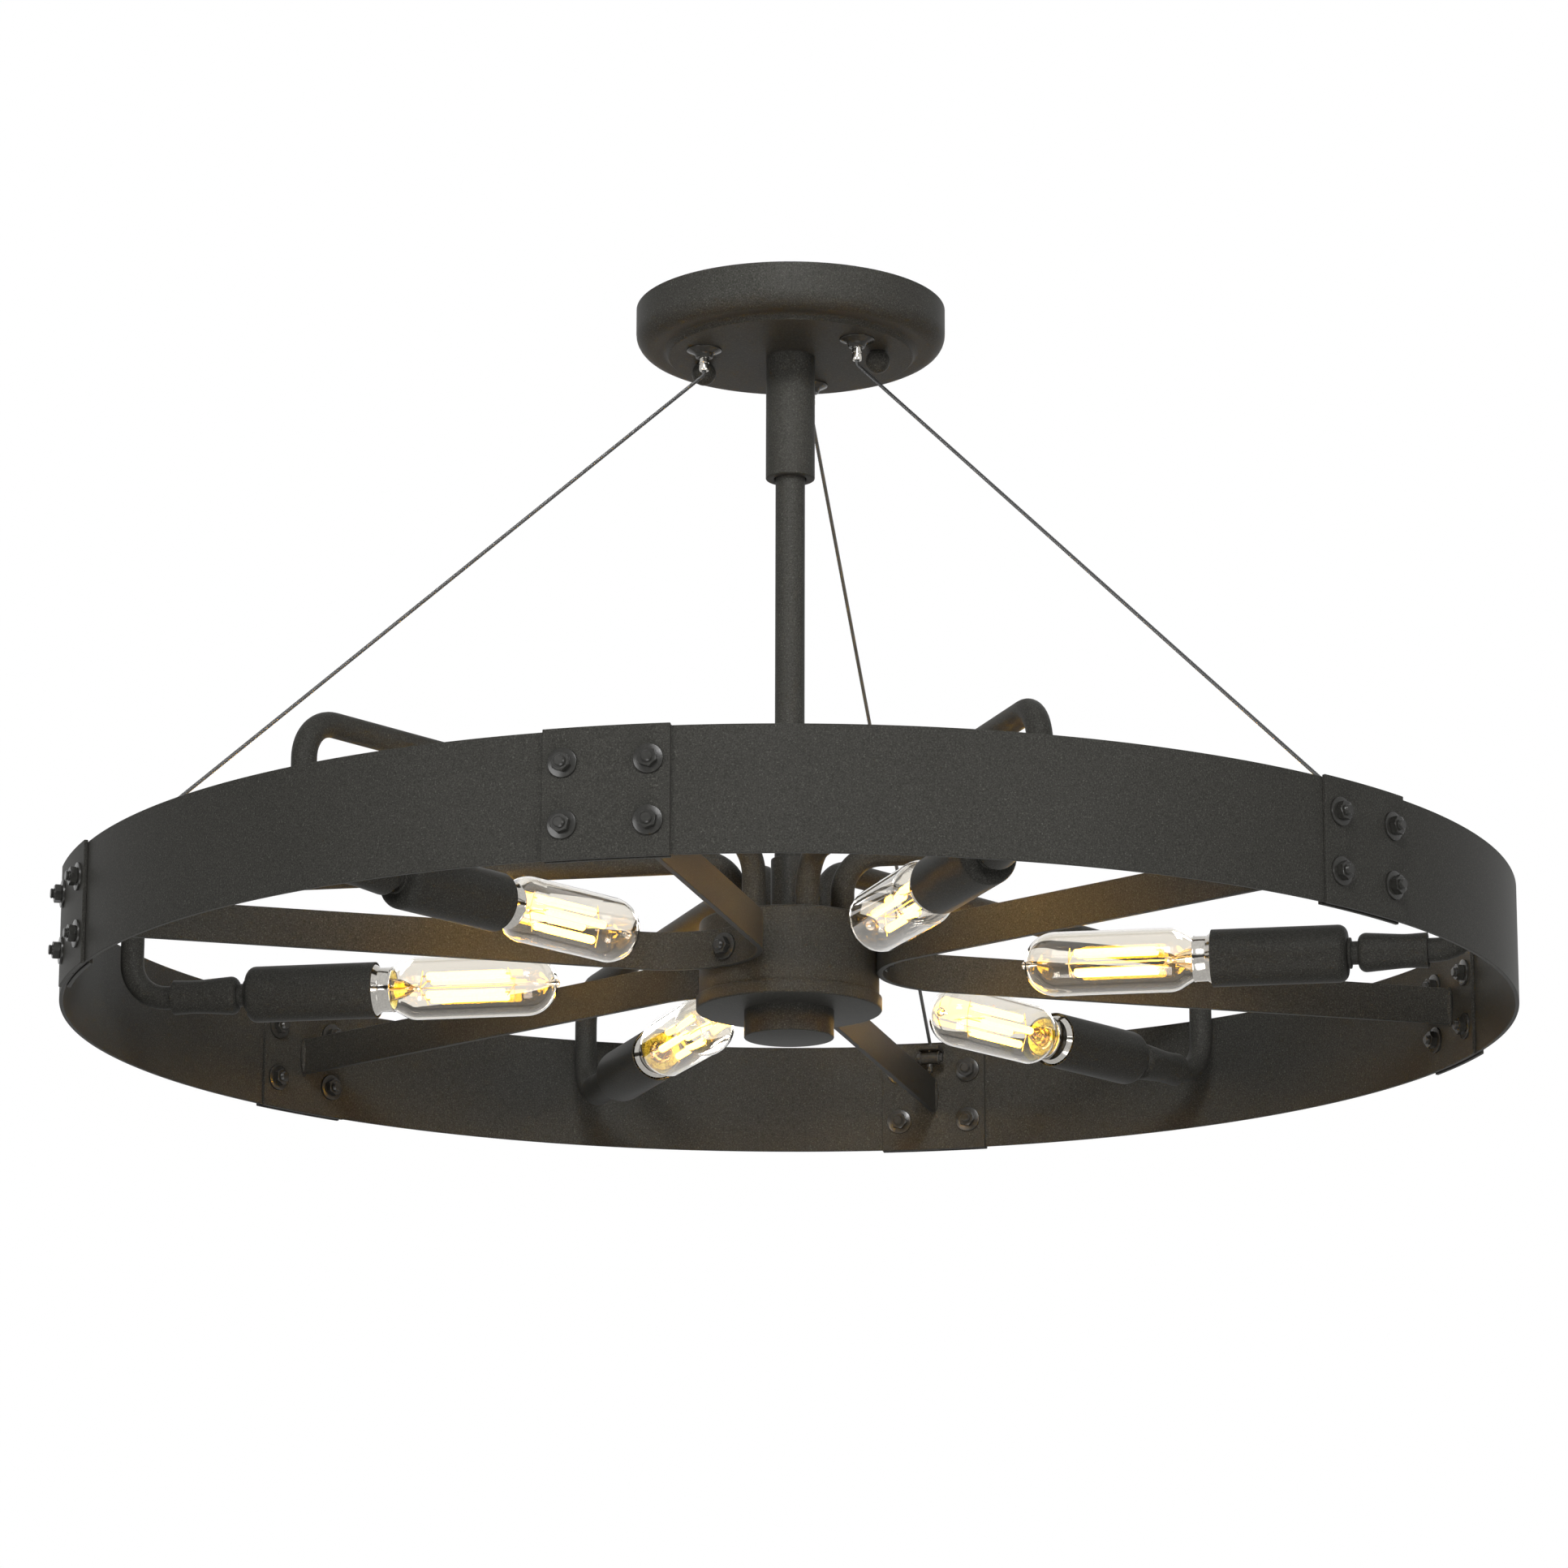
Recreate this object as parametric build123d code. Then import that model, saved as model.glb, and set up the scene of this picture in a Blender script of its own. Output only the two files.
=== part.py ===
from build123d import *
import os
from math import acos, atan2, cos, degrees, hypot, radians, sin, sqrt

# A semi-flush wagon-wheel ceiling light. Millimetres, +Z up.
# The origin is the centre of the canopy rim, on the ceiling, and everything hangs below it.
# Each repeated piece is drawn in the XZ plane, along +X, and turned about Z to its place.

# Clearances
round_gap = 0.3
thread_gap = 0.08
seat_gap = 0.05

# Canopy, a drawn steel pan
canopy_r = 79.0
canopy_wall = 1.2
canopy_depth = 22.0
canopy_shoulder_r = 9.0
plateau_inset = 16.5
plateau_drop = 3.0
plateau_slope = 1.5
plateau_root_r = 3.0
plateau_edge_r = 0.8

# Mounting strap over the outlet box, with its two studs and ball nuts
strap_end = 7.4
strap_width = 22.0
strap_thickness = 2.0
box_screw_spacing = 69.85
box_slot_length = 12.0
box_slot_width = 4.6
strap_nipple_hole_r = 5.2
strap_stud_margin = 4.675
strap_stud_r = 2.1
ball_nut_r = 6.2
ball_nut_flat_r = 3.4
ball_nut_thread_length = 8.0

# Threaded nipples and their locknuts
nipple_r = 4.8
nipple_bore_r = 3.6
nipple_engagement = 14.0
nipple_in_canopy = 8.0
collar_nipple_height = 16.0
locknut_across_flats = 17.0
locknut_thickness = 3.5
arm_nut_across_flats = 15.0
arm_nut_thickness = 3.0

# Stem
sleeve_r = 12.5
sleeve_length = 65.0
sleeve_edge = 0.8
rod_r = 7.5
rod_top_inset = 25.0
rod_insertion = 14.0
collar_r = 9.3
collar_height = 33.0
collar_edge = 0.8

# Hub
hub_r = 45.0
hub_top_z = -321.5
hub_height = 38.1
hub_wall = 2.0
hub_top_wall = 3.0
hub_edge_r = 1.5
lid_overhang = 1.4
lid_thickness = 6.7
lid_edge_r = 1.0
lid_spigot_height = 3.0
finial_r = 22.4
finial_height = 13.7
finial_edge_r = 0.6
finial_thread_length = 9.0

# Wheel rim
rim_r = 361.0
rim_thickness = 2.0
rim_height = 58.7
rim_drop = 19.7
joint_count = 6
band_joint_gap = 0.4
plate_width = 58.5
plate_thickness = 2.0
plate_overlap = 0.8
rim_bolt_spacing_x = 39.0
rim_bolt_spacing_z = 28.0

# Rim and spoke bolts
bolt_r = 2.5
bolt_hole_gap = 0.25
washer_r = 6.8
washer_thickness = 1.2
nut_across_flats = 8.0
nut_thickness = 3.4
bolt_end = 1.8
bolt_end_edge = 0.6

# Spokes, each one strip bent to a V
spoke_height = 19.0
spoke_thickness = 3.0
weld_width = 6.6
weld_height = 21.6
weld_depth = 3.0
spoke_count = 3
spoke_bolt_head_r = 4.5
spoke_bolt_head = 3.0
hub_turn = 2.2

# Arms
arm_count = 6
arm_r = 6.0
arm_wall = 1.0
arm_bend_r = 19.0
arm_riser_r = 27.0
arm_rise = 33.5
arm_rim_gap = 12.0
arm_return = 3.8
arm_foot_r = 7.2
arm_foot_height = 1.4
arm_thread_end = 3.0

# Lamp sockets, measured along each lamp's axis from the stem
lamp_drop = 26.0
socket_length = 67.0
socket_r = 14.25
socket_wall = 0.6
socket_back_r = 4.5
neck_length = 5.0
neck_r = 5.8
neck_bead_r = 7.7
neck_bead_length = 1.7
coupler_length = 34.2
coupler_nose_r = 10.0
coupler_nose_edge_r = 3.9
coupler_waist_r = 8.3
coupler_waist = 11.0
coupler_waist_bend_r = 60.0
coupler_tail_r = 8.8
arm_insertion = 12.0
nipple_in_coupler = 10.0
shell_wall = 0.3
shell_setback = 2.0
holder_block_length = 16.0

# Lamps
glass_r = 16.0
glass_wall = 0.9
glass_length = 84.5
glass_neck_r = 10.8
glass_shoulder_angle = 30.0
glass_shoulder_bend_r = 12.0
glass_tip_r = 2.6
glass_neck_in_cap = 5.0
cap_setback = 1.0
cap_skirt_r = 11.3
cap_skirt_length = 8.0
cap_thread_r = 13.0
cap_thread_length = 15.0
cap_wall = 0.4
cap_cone_length = 3.6
cap_contact_r = 4.6
cap_contact_height = 1.4
filament_length = 41.0
filament_r = 1.4
filament_circle_r = 6.8
filament_count = 4
filament_start = 18.0
glass_stem_r = 5.4
glass_stem_length = 12.0
lead_r = 0.35

# Suspension cables, from the canopy to a tab inside every second rim joint
cable_count = 3
cable_r = 1.0
anchor_margin = 7.6
cone_r = 8.9
cone_lip = 0.8
cone_foot_r = 4.2
cone_height = 4.6
cone_shank_r = 4.4
cone_shank_height = 9.0
nozzle_r = 2.5
nozzle_bore_r = 1.3
nozzle_below_cone = 6.9
nozzle_flange_r = 3.4
nozzle_flange = 1.2
nozzle_travel = 2.0
nozzle_edge = 0.4
cable_bend_r = 4.0
tab_width = 12.0
tab_length = 15.0
tab_thickness = 2.0
tab_drop = 4.6
tab_corner_r = 3.0
cable_drop_inset = 9.5
lock_r = 3.4
lock_length = 11.0
lock_flange_r = 4.0
lock_flange = 1.1
lock_screw_r = 2.4
lock_screw_head = 1.8
ferrule_r = 1.9
ferrule_length = 4.6

# Places worked out from the sizes above
face_z = -canopy_depth - plateau_drop
plateau_r = canopy_r - plateau_inset
ball_nut_spacing = box_screw_spacing + box_slot_length + 2 * strap_stud_margin
strap_length = ball_nut_spacing + 2 * strap_end
anchor_r = plateau_r - anchor_margin - cone_r
sleeve_foot_z = face_z - sleeve_length
rod_top_z = face_z - rod_top_inset
rod_foot_z = hub_top_z + collar_height - rod_insertion
hub_foot_z = hub_top_z - hub_height
rim_centre_z = hub_top_z - rim_drop
arm_run_z = hub_top_z + arm_rise
lamp_z = hub_top_z - lamp_drop
lid_foot_z = hub_foot_z - lid_thickness
finial_foot_z = lid_foot_z - finial_height
rim_top_z = rim_centre_z + rim_height / 2
plate_height = rim_height + 2 * plate_overlap
plate_top_z = rim_centre_z + plate_height / 2
rim_inner_r = rim_r - rim_thickness
plate_inner_r = rim_inner_r - plate_thickness
plate_outer_r = rim_r + plate_thickness
arm_drop_r = rim_inner_r - arm_rim_gap - arm_r
coupler_tail = arm_drop_r - arm_bend_r - arm_return
coupler_nose = coupler_tail - coupler_length
socket_back = coupler_nose - neck_length
socket_front = socket_back - socket_length
cap_foot = socket_front - cap_setback
glass_foot = cap_foot - cap_skirt_length
shell_r = socket_r - socket_wall - seat_gap
cap_end = cap_foot + cap_thread_length + cap_cone_length + cap_contact_height
holder_block_start = cap_end + round_gap
holder_block_end = holder_block_start + holder_block_length
cable_drop_r = plate_inner_r - cable_drop_inset
tab_top_z = plate_top_z - tab_drop
nozzle_foot_z = face_z - cone_height - nozzle_below_cone
nozzle_ledge_z = face_z + cone_shank_height - nozzle_flange - nozzle_travel - cone_lip
lock_z = tab_top_z - tab_thickness - lock_flange_r
ferrule_foot_z = lock_z - lock_r - seat_gap - ferrule_length

joint_angles = [360 / joint_count * k - 90 for k in range(joint_count)]
arm_angles = [360 / arm_count * k + hub_turn for k in range(arm_count)]
spoke_angles = [360 / spoke_count * k + hub_turn for k in range(spoke_count)]
cable_angles = [360 / cable_count * k + 90 for k in range(cable_count)]


# Helpers

def about_stem(angle, shape):
    """Turns a piece about the stem, in degrees from +X."""
    return Rot(0, 0, angle) * shape


def turned(points, radii=None):
    """A solid of revolution about Z from (radius, height) corners, with a fillet for each."""
    corners = [(r, 0, z) for r, z in points]
    if radii is None:
        outline = Polyline(*corners, close=True)
    else:
        outline = FilletPolyline(*corners, radius=radii, close=True)
    return revolve(make_face(outline), Axis.Z)


def tube(outer_r, inner_r, low, high):
    """A plain tube about Z from one height to another."""
    return turned([(inner_r, low), (outer_r, low), (outer_r, high), (inner_r, high)])


def post(radius, low, high):
    """A plain cylinder about Z from one height to another."""
    return Pos(0, 0, low) * Cylinder(radius, high - low, align=(Align.CENTER, Align.CENTER, Align.MIN))


def outwards(shape, height):
    """Lays a piece turned about Z along a radius: its height becomes its distance from the stem."""
    return Pos(0, 0, height) * Rot(0, 90, 0) * shape


def hex_prism(across_flats, thickness):
    """A hexagon prism standing on the XY plane."""
    return extrude(RegularPolygon(across_flats / 2, 6, major_radius=False), thickness)


def ring_sector(outer_r, inner_r, half_angle, low, high):
    """A curved plate about the stem, centred on +X."""
    def on(radius, angle):
        return (radius * cos(radians(angle)), radius * sin(radians(angle)))

    outline = [
        ThreePointArc(on(outer_r, -half_angle), on(outer_r, 0), on(outer_r, half_angle)),
        Line(on(outer_r, half_angle), on(inner_r, half_angle)),
        ThreePointArc(on(inner_r, half_angle), on(inner_r, 0), on(inner_r, -half_angle)),
        Line(on(inner_r, -half_angle), on(outer_r, -half_angle)),
    ]
    return Pos(0, 0, low) * extrude(make_face(outline), high - low)


def save(name, *solids):
    """Writes one node, as a single solid or as a group of them."""
    shape = solids[0] if len(solids) == 1 else Compound(children=list(solids))
    export_step(shape, f"parts/{name}.step")


# Canopy and its fixings

def pan(inset):
    """The canopy's outline as a full disc, drawn in by the wall on every side but the rim."""
    corners = [
        (0, 0),
        (canopy_r - inset, 0),
        (canopy_r - inset, inset - canopy_depth),
        (plateau_r + plateau_slope - inset, inset - canopy_depth),
        (plateau_r - inset, inset + face_z),
        (0, inset + face_z),
    ]
    radii = [0, 0, canopy_shoulder_r - inset, plateau_root_r - inset, plateau_edge_r, 0]
    return turned(corners, radii)


def canopy():
    body = pan(0) - pan(canopy_wall)
    hole_low = face_z - 1
    hole_high = face_z + canopy_wall + 1
    body -= post(nipple_r + round_gap, hole_low, hole_high)
    for side in (-1, 1):
        body -= Pos(side * ball_nut_spacing / 2, 0, 0) * post(strap_stud_r + round_gap, hole_low, hole_high)
    for angle in cable_angles:
        body -= about_stem(angle, Pos(anchor_r, 0, 0) * post(cone_shank_r + seat_gap, hole_low, hole_high))
    return body


def mounting_strap():
    """The flat crossbar on the outlet box, with a slot for each box screw and a tapped hole for each stud."""
    blank = extrude(SlotOverall(strap_length, strap_width), -strap_thickness)
    slot = extrude(SlotOverall(box_slot_length, box_slot_width), -strap_thickness)
    for side in (-1, 1):
        blank -= Pos(side * box_screw_spacing / 2, 0, 0) * slot
        stud_hole = post(strap_stud_r + thread_gap, -strap_thickness - 1, 1)
        blank -= Pos(side * ball_nut_spacing / 2, 0, 0) * stud_hole
    return blank - post(strap_nipple_hole_r, -strap_thickness - 1, 1)


def strap_studs():
    """The two studs, each with a locknut under the strap, reaching into its ball nut."""
    stud_foot = face_z - ball_nut_thread_length + 1
    stud = post(strap_stud_r, stud_foot, 0)
    nut = Pos(0, 0, -strap_thickness - nut_thickness) * hex_prism(nut_across_flats, nut_thickness)
    one = stud + nut
    return [Pos(side * ball_nut_spacing / 2, 0, 0) * one for side in (-1, 1)]


def ball_nut():
    """A ball with a flat seat that meets the canopy face and a blind threaded hole."""
    seat_height = (ball_nut_r ** 2 - ball_nut_flat_r ** 2) ** 0.5
    ball = Pos(0, 0, -seat_height) * Sphere(ball_nut_r)
    ball &= post(ball_nut_r, -2 * ball_nut_r - 1, 0)
    return ball - post(strap_stud_r + thread_gap, -ball_nut_thread_length, 1)


# Stem

def stem_sleeve():
    """The thick tube, closed at its top where the nipple screws in."""
    bore = rod_r + round_gap * 2
    corners = [
        (nipple_r + thread_gap, face_z),
        (sleeve_r, face_z),
        (sleeve_r, sleeve_foot_z),
        (bore, sleeve_foot_z),
        (bore, rod_top_z + round_gap),
        (nipple_r + thread_gap, rod_top_z + round_gap),
    ]
    radii = [0, 0, sleeve_edge, sleeve_edge, 0, 0]
    return turned(corners, radii)


def stem_rod():
    return tube(rod_r, nipple_r + thread_gap, rod_foot_z, rod_top_z)


def hub_collar():
    """The coupling that the rod's foot screws into, standing on the hub."""
    top = hub_top_z + collar_height
    corners = [
        (nipple_r + thread_gap, hub_top_z),
        (collar_r, hub_top_z),
        (collar_r, top),
        (rod_r + thread_gap, top),
        (rod_r + thread_gap, rod_foot_z),
        (nipple_r + thread_gap, rod_foot_z),
    ]
    return turned(corners, [0, 0, collar_edge, 0, 0, 0])


def threaded_nipple(low, high):
    return tube(nipple_r, nipple_bore_r, low, high)


def locknut(across_flats, thickness, bore):
    return hex_prism(across_flats, thickness) - post(bore, -1, thickness + 1)


# Hub

def hub_body():
    """The turned cup, open below, with a hole for each arm, the nipple and each spoke bolt."""
    cavity_r = hub_r - hub_wall
    ceiling = hub_top_z - hub_top_wall
    corners = [
        (nipple_r + seat_gap, hub_top_z),
        (hub_r, hub_top_z),
        (hub_r, hub_foot_z),
        (cavity_r, hub_foot_z),
        (cavity_r, ceiling),
        (nipple_r + seat_gap, ceiling),
    ]
    cup = turned(corners, [0, hub_edge_r, 0, 0, hub_edge_r, 0])
    for angle in arm_angles:
        hole = Pos(arm_riser_r, 0, 0) * post(arm_r + seat_gap, ceiling - 1, hub_top_z + 1)
        cup -= about_stem(angle, hole)
    for angle in spoke_angles:
        hole = post(bolt_r + seat_gap, cavity_r - hub_wall, hub_r + hub_wall)
        cup -= about_stem(angle, outwards(hole, rim_centre_z))
    return cup


def hub_lid():
    """The drawn lid, a little wider than the hub, with a spigot that centres it in the cup."""
    lid_r = hub_r + lid_overhang
    spigot_r = hub_r - hub_wall - round_gap
    floor = lid_foot_z + hub_wall
    corners = [
        (nipple_r + seat_gap, lid_foot_z),
        (lid_r, lid_foot_z),
        (lid_r, hub_foot_z),
        (spigot_r, hub_foot_z),
        (spigot_r, hub_foot_z + lid_spigot_height),
        (spigot_r - hub_wall, hub_foot_z + lid_spigot_height),
        (spigot_r - hub_wall, floor),
        (nipple_r + seat_gap, floor),
    ]
    return turned(corners, [0, lid_edge_r, lid_edge_r / 2, 0, 0, 0, 0, 0])


def finial():
    """The plain round knob that screws on the nipple and clamps the lid."""
    corners = [
        (0, finial_foot_z),
        (finial_r, finial_foot_z),
        (finial_r, lid_foot_z),
        (nipple_r + thread_gap, lid_foot_z),
        (nipple_r + thread_gap, lid_foot_z - finial_thread_length),
        (0, lid_foot_z - finial_thread_length),
    ]
    return turned(corners, [0, finial_edge_r, 0, 0, 0, 0])


def stem_nipples():
    """One nipple from the canopy into the rod, and one from the collar into the finial."""
    upper = threaded_nipple(rod_top_z - nipple_engagement, face_z + canopy_wall + nipple_in_canopy)
    lower = threaded_nipple(lid_foot_z - finial_thread_length + 1, hub_top_z + collar_nipple_height)
    return [upper, lower]


def stem_locknuts():
    nut = locknut(locknut_across_flats, locknut_thickness, nipple_r + seat_gap)
    in_canopy = Pos(0, 0, face_z + canopy_wall) * nut
    in_hub = Pos(0, 0, hub_top_z - hub_top_wall - locknut_thickness) * nut
    return [in_canopy, in_hub]


# Arms

def arm():
    """One tube with three bends: up from the hub, out over the rim, down inside it and back to the lamp."""
    foot = hub_top_z - hub_top_wall - arm_nut_thickness - arm_thread_end
    path = FilletPolyline(
        (arm_riser_r, 0, foot),
        (arm_riser_r, 0, arm_run_z),
        (arm_drop_r, 0, arm_run_z),
        (arm_drop_r, 0, lamp_z),
        (coupler_tail - arm_insertion, 0, lamp_z),
        radius=arm_bend_r,
    )
    section = Circle(arm_r) - Circle(arm_r - arm_wall)
    pipe = sweep(Plane(origin=path @ 0, z_dir=path % 0) * section, path=path)
    ring = tube(arm_foot_r, arm_r - arm_wall / 2, hub_top_z, hub_top_z + arm_foot_height)
    return pipe + Pos(arm_riser_r, 0, 0) * ring


def arm_locknut():
    nut = locknut(arm_nut_across_flats, arm_nut_thickness, arm_r + seat_gap)
    return Pos(arm_riser_r, 0, hub_top_z - hub_top_wall - arm_nut_thickness) * nut


# Lamp sockets

def socket_coupler():
    """The waisted piece that joins the arm's tube to the socket, with a beaded neck on its round nose."""
    nipple_bore = nipple_r + seat_gap
    arm_bore = arm_r + seat_gap
    bead_end = socket_back + neck_bead_length
    corners = [
        (nipple_bore, socket_back),
        (neck_bead_r, socket_back),
        (neck_bead_r, bead_end),
        (neck_r, bead_end),
        (neck_r, coupler_nose),
        (coupler_nose_r, coupler_nose),
        (coupler_waist_r, coupler_tail - coupler_waist),
        (coupler_tail_r, coupler_tail),
        (arm_bore, coupler_tail),
        (arm_bore, coupler_tail - arm_insertion - seat_gap),
        (nipple_bore, coupler_tail - arm_insertion - seat_gap),
    ]
    bead_edge = neck_bead_length / 4
    radii = [0, bead_edge, bead_edge, 0, 0, coupler_nose_edge_r, coupler_waist_bend_r, 0, 0, 0, 0]
    return outwards(turned(corners, radii), lamp_z)


def socket_nipple():
    """The nipple that holds the lampholder's block and the sleeve to the coupler."""
    pipe = threaded_nipple(holder_block_end - nipple_engagement / 2, coupler_nose + nipple_in_coupler)
    return outwards(pipe, lamp_z)


def socket_sleeve():
    """The thin cup round the lampholder, open towards the lamp, with a rounded back."""
    hole = nipple_r + seat_gap
    inner = socket_r - socket_wall
    back_wall = 2 * socket_wall
    corners = [
        (hole, socket_back),
        (socket_r, socket_back),
        (socket_r, socket_front),
        (inner, socket_front),
        (inner, socket_back - back_wall),
        (hole, socket_back - back_wall),
    ]
    radii = [0, socket_back_r, 0, 0, socket_back_r - socket_wall, 0]
    return outwards(turned(corners, radii), lamp_z)


def lampholder():
    """The screw shell that takes the lamp's base, on its insulating block."""
    nipple_bore = nipple_r + seat_gap
    nipple_end = holder_block_end - nipple_engagement / 2
    corners = [
        (shell_r - shell_wall, socket_front + shell_setback),
        (shell_r, socket_front + shell_setback),
        (shell_r, holder_block_end),
        (nipple_bore, holder_block_end),
        (nipple_bore, nipple_end - seat_gap),
        (0, nipple_end - seat_gap),
        (0, holder_block_start),
        (shell_r - shell_wall, holder_block_start),
    ]
    return outwards(turned(corners), lamp_z)


# Lamps

def glass_form(inset, mouth):
    """The lamp's glass as a filled form, drawn in by the wall: a round end, a tube, a cone and a neck."""
    full = glass_r - inset
    neck = glass_neck_r - inset
    dome_start = glass_foot - glass_length + glass_r
    lean = radians(glass_shoulder_angle)
    bend_centre = glass_r - glass_shoulder_bend_r
    bend_r = glass_shoulder_bend_r - inset
    straight = (bend_centre + glass_shoulder_bend_r * cos(lean) - glass_neck_r) / sin(lean)
    shoulder_start = glass_foot - straight * cos(lean) - glass_shoulder_bend_r * sin(lean)
    middle = (bend_centre + bend_r * cos(lean / 2), shoulder_start + bend_r * sin(lean / 2))
    bend_end = (bend_centre + bend_r * cos(lean), shoulder_start + bend_r * sin(lean))
    shoulder_end = bend_end[1] + (bend_end[0] - neck) / sin(lean) * cos(lean)
    outline = [
        CenterArc((0, dome_start), full, 270, 90),
        Line((full, dome_start), (full, shoulder_start)),
        ThreePointArc((full, shoulder_start), middle, bend_end),
        Line(bend_end, (neck, shoulder_end)),
        Line((neck, shoulder_end), (neck, mouth)),
        Line((neck, mouth), (0, mouth)),
        Line((0, mouth), (0, dome_start - full)),
    ]
    return revolve(Plane.XZ * make_face(outline), Axis.Z)


def bulb_glass():
    """The clear tubular envelope, with the sealed tip of its exhaust tube."""
    mouth = glass_foot + glass_neck_in_cap
    tip_z = glass_foot - glass_length + glass_tip_r / 2
    tip = Pos(0, 0, tip_z) * Sphere(glass_tip_r)
    return outwards(glass_form(0, mouth) + tip - glass_form(glass_wall, mouth + 1), lamp_z)


def bulb_cap():
    """The screw base: a skirt round the glass neck, the threaded shell, the insulator and the contact."""
    skirt_start = cap_foot - cap_skirt_length
    thread_start = cap_foot
    thread_end = cap_foot + cap_thread_length
    cone_end = thread_end + cap_cone_length
    flare = cap_thread_r - cap_skirt_r
    corners = [
        (cap_skirt_r - cap_wall, skirt_start),
        (cap_skirt_r, skirt_start),
        (cap_skirt_r, thread_start - flare / 2),
        (cap_thread_r, thread_start + flare / 2),
        (cap_thread_r, thread_end),
        (cap_contact_r, cone_end),
        (cap_contact_r, cap_end),
        (0, cap_end),
        (0, thread_end - cap_wall),
        (cap_thread_r - cap_wall, thread_end - cap_wall),
        (cap_thread_r - cap_wall, thread_start + flare / 2),
        (cap_skirt_r - cap_wall, thread_start - flare / 2),
    ]
    return outwards(turned(corners), lamp_z)


def bulb_mount():
    """The flared glass stem and its centre wire, with the filaments between two sets of leads."""
    mouth = glass_foot + glass_neck_in_cap
    start = glass_foot - filament_start
    end = start - filament_length
    flare_r = glass_neck_r - glass_wall - round_gap
    stem_tip = glass_foot - glass_stem_length
    frame = turned([
        (0, mouth),
        (flare_r, mouth),
        (flare_r, mouth - glass_wall),
        (glass_stem_r, glass_foot),
        (glass_stem_r / 2, stem_tip + glass_stem_length / 3),
        (lead_r * 2, stem_tip),
        (0, stem_tip),
    ])
    frame += post(lead_r, end - lead_r, stem_tip + 1)
    frame += post(lead_r, mouth - 1, cap_foot + cap_thread_length)
    for k in range(filament_count):
        angle = 360 / filament_count * (k + 0.5)
        frame += about_stem(angle, Pos(filament_circle_r, 0, 0) * post(filament_r, end, start))
        for height in (start - lead_r, end + lead_r):
            lead = outwards(post(lead_r * 0.9, 0, filament_circle_r), height)
            frame += about_stem(angle, lead)
    return outwards(frame, lamp_z)


# Rim

def joint_bolt_places():
    """The four bolts of a rim joint at +X, each as its angle about the stem and its height."""
    half_angle = degrees(rim_bolt_spacing_x / 2 / rim_r)
    half_height = rim_bolt_spacing_z / 2
    return [
        (side * half_angle, rim_centre_z + level * half_height)
        for side in (-1, 1)
        for level in (-1, 1)
    ]


def joint_bolt_holes():
    hole = post(bolt_r + bolt_hole_gap, plate_inner_r - 2, plate_outer_r + 2)
    return [about_stem(angle, outwards(hole, height)) for angle, height in joint_bolt_places()]


def band_segment():
    """The rolled band from one rim joint to the next, centred on +X."""
    half_angle = 180 / joint_count
    end_angle = half_angle - degrees(band_joint_gap / 2 / rim_r)
    half_height = rim_height / 2
    band = ring_sector(rim_r, rim_inner_r, end_angle, rim_centre_z - half_height, rim_centre_z + half_height)
    for hole in joint_bolt_holes():
        for side in (-1, 1):
            band -= about_stem(side * half_angle, hole)
    return band


def splice_plate(outer_r, inner_r):
    half_angle = degrees(plate_width / 2 / rim_r)
    half_height = plate_height / 2
    plate = ring_sector(outer_r, inner_r, half_angle, rim_centre_z - half_height, rim_centre_z + half_height)
    for hole in joint_bolt_holes():
        plate -= hole
    return plate


def outer_plate():
    return splice_plate(plate_outer_r, rim_r + seat_gap)


def inner_plate(has_tab):
    """The splice plate inside the rim. Under a cable it carries a welded tab with the cable's hole."""
    plate = splice_plate(rim_inner_r - seat_gap, plate_inner_r)
    if has_tab:
        tip = plate_inner_r - tab_length
        root = plate_inner_r + plate_thickness / 2
        tab = Pos((tip + root) / 2, 0, tab_top_z - tab_thickness) * extrude(
            Rectangle(root - tip, tab_width), tab_thickness)
        corners = tab.edges().filter_by(Axis.Z).group_by(Axis.X)[0]
        tab = fillet(corners, tab_corner_r)
        plate += tab
        plate -= Pos(cable_drop_r, 0, 0) * post(cable_r + round_gap, tab_top_z - tab_thickness - 1, tab_top_z + 1)
    return plate


def bolt_set(grip_low, grip_high):
    """A stud with a washer and a nut clamped at each end of its grip, drawn along Z."""
    nut_top = grip_high + washer_thickness + nut_thickness
    nut_foot = grip_low - washer_thickness - nut_thickness
    corners = [
        (0, nut_foot - bolt_end),
        (bolt_r - bolt_end_edge, nut_foot - bolt_end),
        (bolt_r, nut_foot - bolt_end + bolt_end_edge),
        (bolt_r, grip_low - washer_thickness),
        (washer_r, grip_low - washer_thickness),
        (washer_r, grip_low),
        (bolt_r, grip_low),
        (bolt_r, grip_high),
        (washer_r, grip_high),
        (washer_r, grip_high + washer_thickness),
        (bolt_r, grip_high + washer_thickness),
        (bolt_r, nut_top + bolt_end - bolt_end_edge),
        (bolt_r - bolt_end_edge, nut_top + bolt_end),
        (0, nut_top + bolt_end),
    ]
    stud = turned(corners)
    nut = hex_prism(nut_across_flats, nut_thickness)
    return stud + Pos(0, 0, nut_foot) * nut + Pos(0, 0, grip_high + washer_thickness) * nut


def rim_bolts():
    grip_low = sqrt(plate_inner_r ** 2 - washer_r ** 2) - seat_gap
    one = bolt_set(grip_low, plate_outer_r)
    return [
        about_stem(joint + angle, outwards(one, height))
        for joint in joint_angles
        for angle, height in joint_bolt_places()
    ]


# Spokes

def spoke_end(side):
    """Where a leg meets its inner plate, in the spoke's own frame with its apex on +X."""
    angle = radians(side * 180 / joint_count - hub_turn)
    return Vector(plate_inner_r * cos(angle), plate_inner_r * sin(angle)) - leg_direction(angle) * weld_depth / 2


def leg_direction(angle):
    return Vector(cos(angle), sin(angle))


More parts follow.
